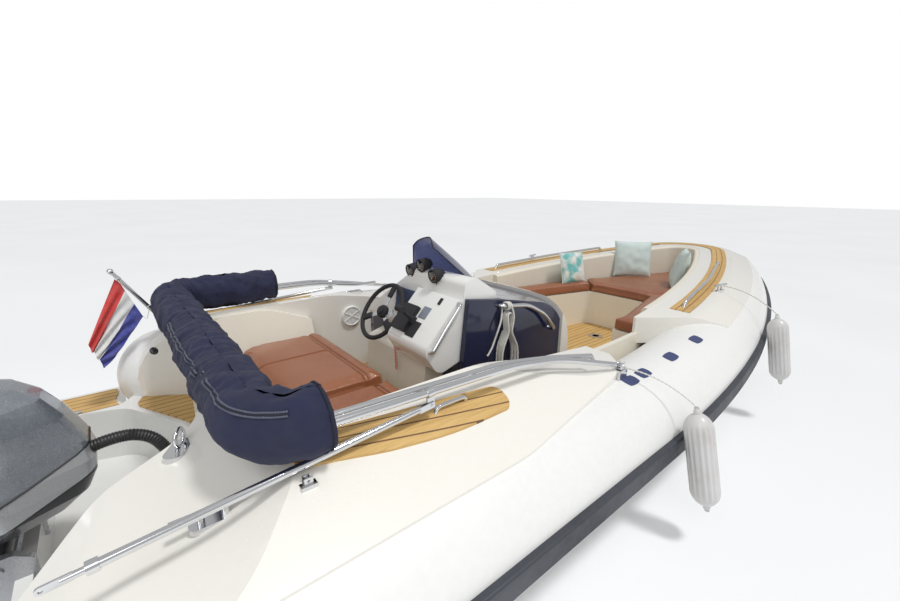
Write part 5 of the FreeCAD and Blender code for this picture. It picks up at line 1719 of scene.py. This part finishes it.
@dataclass
class HelmTrim:
    """Dials, speakers' grilles, tray, switch and the throttle's plate."""

    dials: Line = ((1.324, 0.030, 1.072), (1.330, -0.068, 1.113), (1.300, -0.218, 1.082))
    plates: Sequence[tuple[float, float, float, float, Finish]] = (
        (1.205, -0.275, 0.030, 0.034, GREY), (1.262, -0.330, 0.011, 0.020, BLACK), (1.136, -0.268, 0.036, 0.044, BLACK))
    speaker_x: float = 1.290
    speaker_y: float = 0.7265
    speaker_z: float = 0.640

    def build(self) -> None:
        """Makes the trim of the helm."""
        way = Vector((-58, 0, -10)).normalized()
        for index, face in enumerate(Vector(point) for point in self.dials):
            pod = joined([drum(face - way * 0.022, way, 0.037, 0.048, 0.008),
                          drum(face - way * 0.052, way, 0.024, 0.030, 0.006),
                          drum(face - way * 0.035 - UP * 0.030, UP, 0.012, 0.05, 0.002, 20)])
            stands = ("dash_instruments",) if index == 0 else ()
            dress(pod, f"dial_pod_{index}", BLACK, *stands)
            self.dial(index, face + way * 0.002, way)
        for index, side in enumerate((-PORT, PORT)):
            self.grille(index, side)
        self.switches()

    def dial(self, index: int, face: Vector, way: Vector) -> None:
        """One instrument's bezel, glass, ticks and needle.

        Args:
            index: Its number.
            face: The middle of its face.
            way: The direction that it faces.
        """
        dress(hoop(face + way * 0.001, way, 0.0345, 0.0035, 48), f"dial_bezel_{index}", BLACK)
        dress(drum(face + way * 0.0008, way, 0.0335, 0.003, 0.0006, 48), f"dial_glass_{index}", GLOSS_BLACK)
        top = way.cross(PORT)
        marks = []
        for i in range(11):
            angle = math.radians(-125 + 25 * i)
            out = PORT * math.sin(angle) + top * math.cos(angle)
            marks.append(drum(face + way * 0.0026 + out * 0.026, way, 0.0014, 0.0006, 0, 8))
        needle = drum(face + way * 0.003 + PORT * 0.006 + top * 0.007, PORT * 0.6 + top * 0.8, 0.0010, 0.026, 0, 8)
        dress(joined([*marks, needle]), f"dial_marks_{index}", SPEAKER)

    def grille(self, index: int, side: Vector) -> None:
        """A speaker's rim, cone and star of bars.

        Args:
            index: Its number.
            side: The direction to its side of the boat.
        """
        inward = -side
        middle = Vector((self.speaker_x, 0, self.speaker_z)) + side * self.speaker_y
        rim = hoop(middle, inward, 0.066, 0.0055, 64)
        bars = []
        for i in range(6):
            angle = math.tau * i / 6
            out = Vector((math.sin(angle), 0, math.cos(angle)))
            bar = block((-0.0045, 0.012, -0.002), (0.0045, 0.064, 0.002), 0.0015)
            bar.data.transform(standing(middle + inward * 0.002, out.cross(inward), out, inward))
            bars.append(clean(bar))
        dome = drum(middle + inward * 0.002, inward, 0.016, 0.005, 0.002)
        dress(joined([rim, *bars, dome]), f"speaker_grille_{index}", SPEAKER)
        dress(drum(middle, inward, 0.060, 0.001, 0.0003), f"speaker_cone_{index}", BLACK)

    def switches(self) -> None:
        """The grey tray, a rocker and the throttle's black plate on the pod's slope."""
        pod = bpy.data.objects["helm_pod"]
        slope = Vector((-0.73, 0, 0.68))
        along = Vector((0.68, 0, 0.73))
        for index, (x, y, wide, tall, finish) in enumerate(self.plates):
            spot = drop_on(pod, x, y)
            if spot is None:
                continue
            plate = block((-wide, -tall, -0.003), (wide, tall, 0.004), 0.003)
            plate.data.transform(standing(spot, PORT, along, slope))
            dress(clean(plate), f"helm_switch_{index}", finish)


class Cover:
    """The puffed cloth cover over the plotter."""

    def build(self) -> None:
        """Makes the cover from the CAD cover's own shape."""
        piece = solids_of("plotter_cover")[0]
        stuffed(piece, 0.005, 1.5, 0.006, 0.002, None, 10)
        dress(piece, "plotter_hood", COVER, "plotter_cover", angle=80)


@dataclass
class TubeFittings:
    """The fabric patches on the tube and the lamp's lens on the stern quarter."""

    patches: Sequence[tuple[float, float]] = ((1.784, -1.089), (1.906, -1.087), (2.188, -1.091), (2.509, -1.086))
    lens: Point = (0.1235, 0.7705, 0.645)

    def build(self) -> None:
        """Lays the patches and the lens."""
        for index, (x, y) in enumerate(self.patches):
            self.patch(index, x, y)
        lens = drum(self.lens, (-0.43, -0.9, 0), 0.022, 0.004, 0.0015)
        dress(lens, "quarter_lamp", PORT_GLASS)

    def patch(self, index: int, x: float, y: float) -> None:
        """A rounded fabric patch that follows the tube.

        Args:
            index: Its number.
            x: Its middle along the boat.
            y: Its middle across it.
        """
        nodes = [frame["nodes"][name] for name in ("starboard_tube", "bow_tube")]

        def place(u: float, v: float) -> Vector:
            """The patch's point on the tube.

            Args:
                u: The share along the grid's first direction.
                v: The share along its second direction.

            Returns:
                The point.
            """
            a, b = u * 2 - 1, v * 2 - 1
            px = x + a * 0.045 * math.sqrt(1 - 0.22 * b * b)
            py = y + b * 0.030 * math.sqrt(1 - 0.30 * a * a)
            hits = [hit for hit in (drop_on(node, px, py) for node in nodes) if hit is not None]
            top = max((hit.z for hit in hits), default=0.68)
            return Vector((px, py, top + 0.0008))

        piece = draped(16, 12, place)
        apply_modifier(piece, "SOLIDIFY", thickness=0.0016, offset=1.0)
        dress(piece, f"tube_patch_{index}", PATCH)


@dataclass
class EngineTrim:
    """The cowl's rubber joint."""

    middle_x: float = -0.53
    reach: float = 0.006

    def build(self) -> None:
        """Makes the rubber joint round the cowl."""
        cowl = frame["nodes"]["engine_cowl"]
        rim: dict[int, tuple[float, Vector]] = {}
        for vertex in cowl.data.vertices:
            if abs(vertex.co.z - (JOINT_HEIGHT + (vertex.co.x + JOINT_OFFSET) * JOINT_SLOPE)) > self.reach:
                continue
            ahead = vertex.co.x - self.middle_x
            key = round(math.degrees(math.atan2(vertex.co.y, ahead)) / 5)
            far = math.hypot(ahead, vertex.co.y)
            if key not in rim or far > rim[key][0]:
                rim[key] = far, vertex.co.copy()
        line = [rim[key][1] for key in sorted(rim)]
        if len(line) > 12:
            line.append(line[0])
            joint = hose(line, 0.0038, 260, 8, capped=False)
            dress(joint, "cowl_joint", HOSE, body="engine", slot="engine_dark")


PARTS = (Studio, DockRope, KillCord, Frame, FoldingTopBoot, AfterSeat, BowSeat, Fenders, Ensign, RiggingHoses, Wheel,
         HelmPod, Windscreen, HelmTrim, Cover, TubeFittings, EngineTrim)


def main() -> None:
    """Builds the boat's visual model round the CAD frame."""
    logging.basicConfig(level=logging.INFO, format="%(message)s")
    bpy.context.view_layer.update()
    for part in PARTS:
        part().build()


if __name__ == "__main__":
    main()
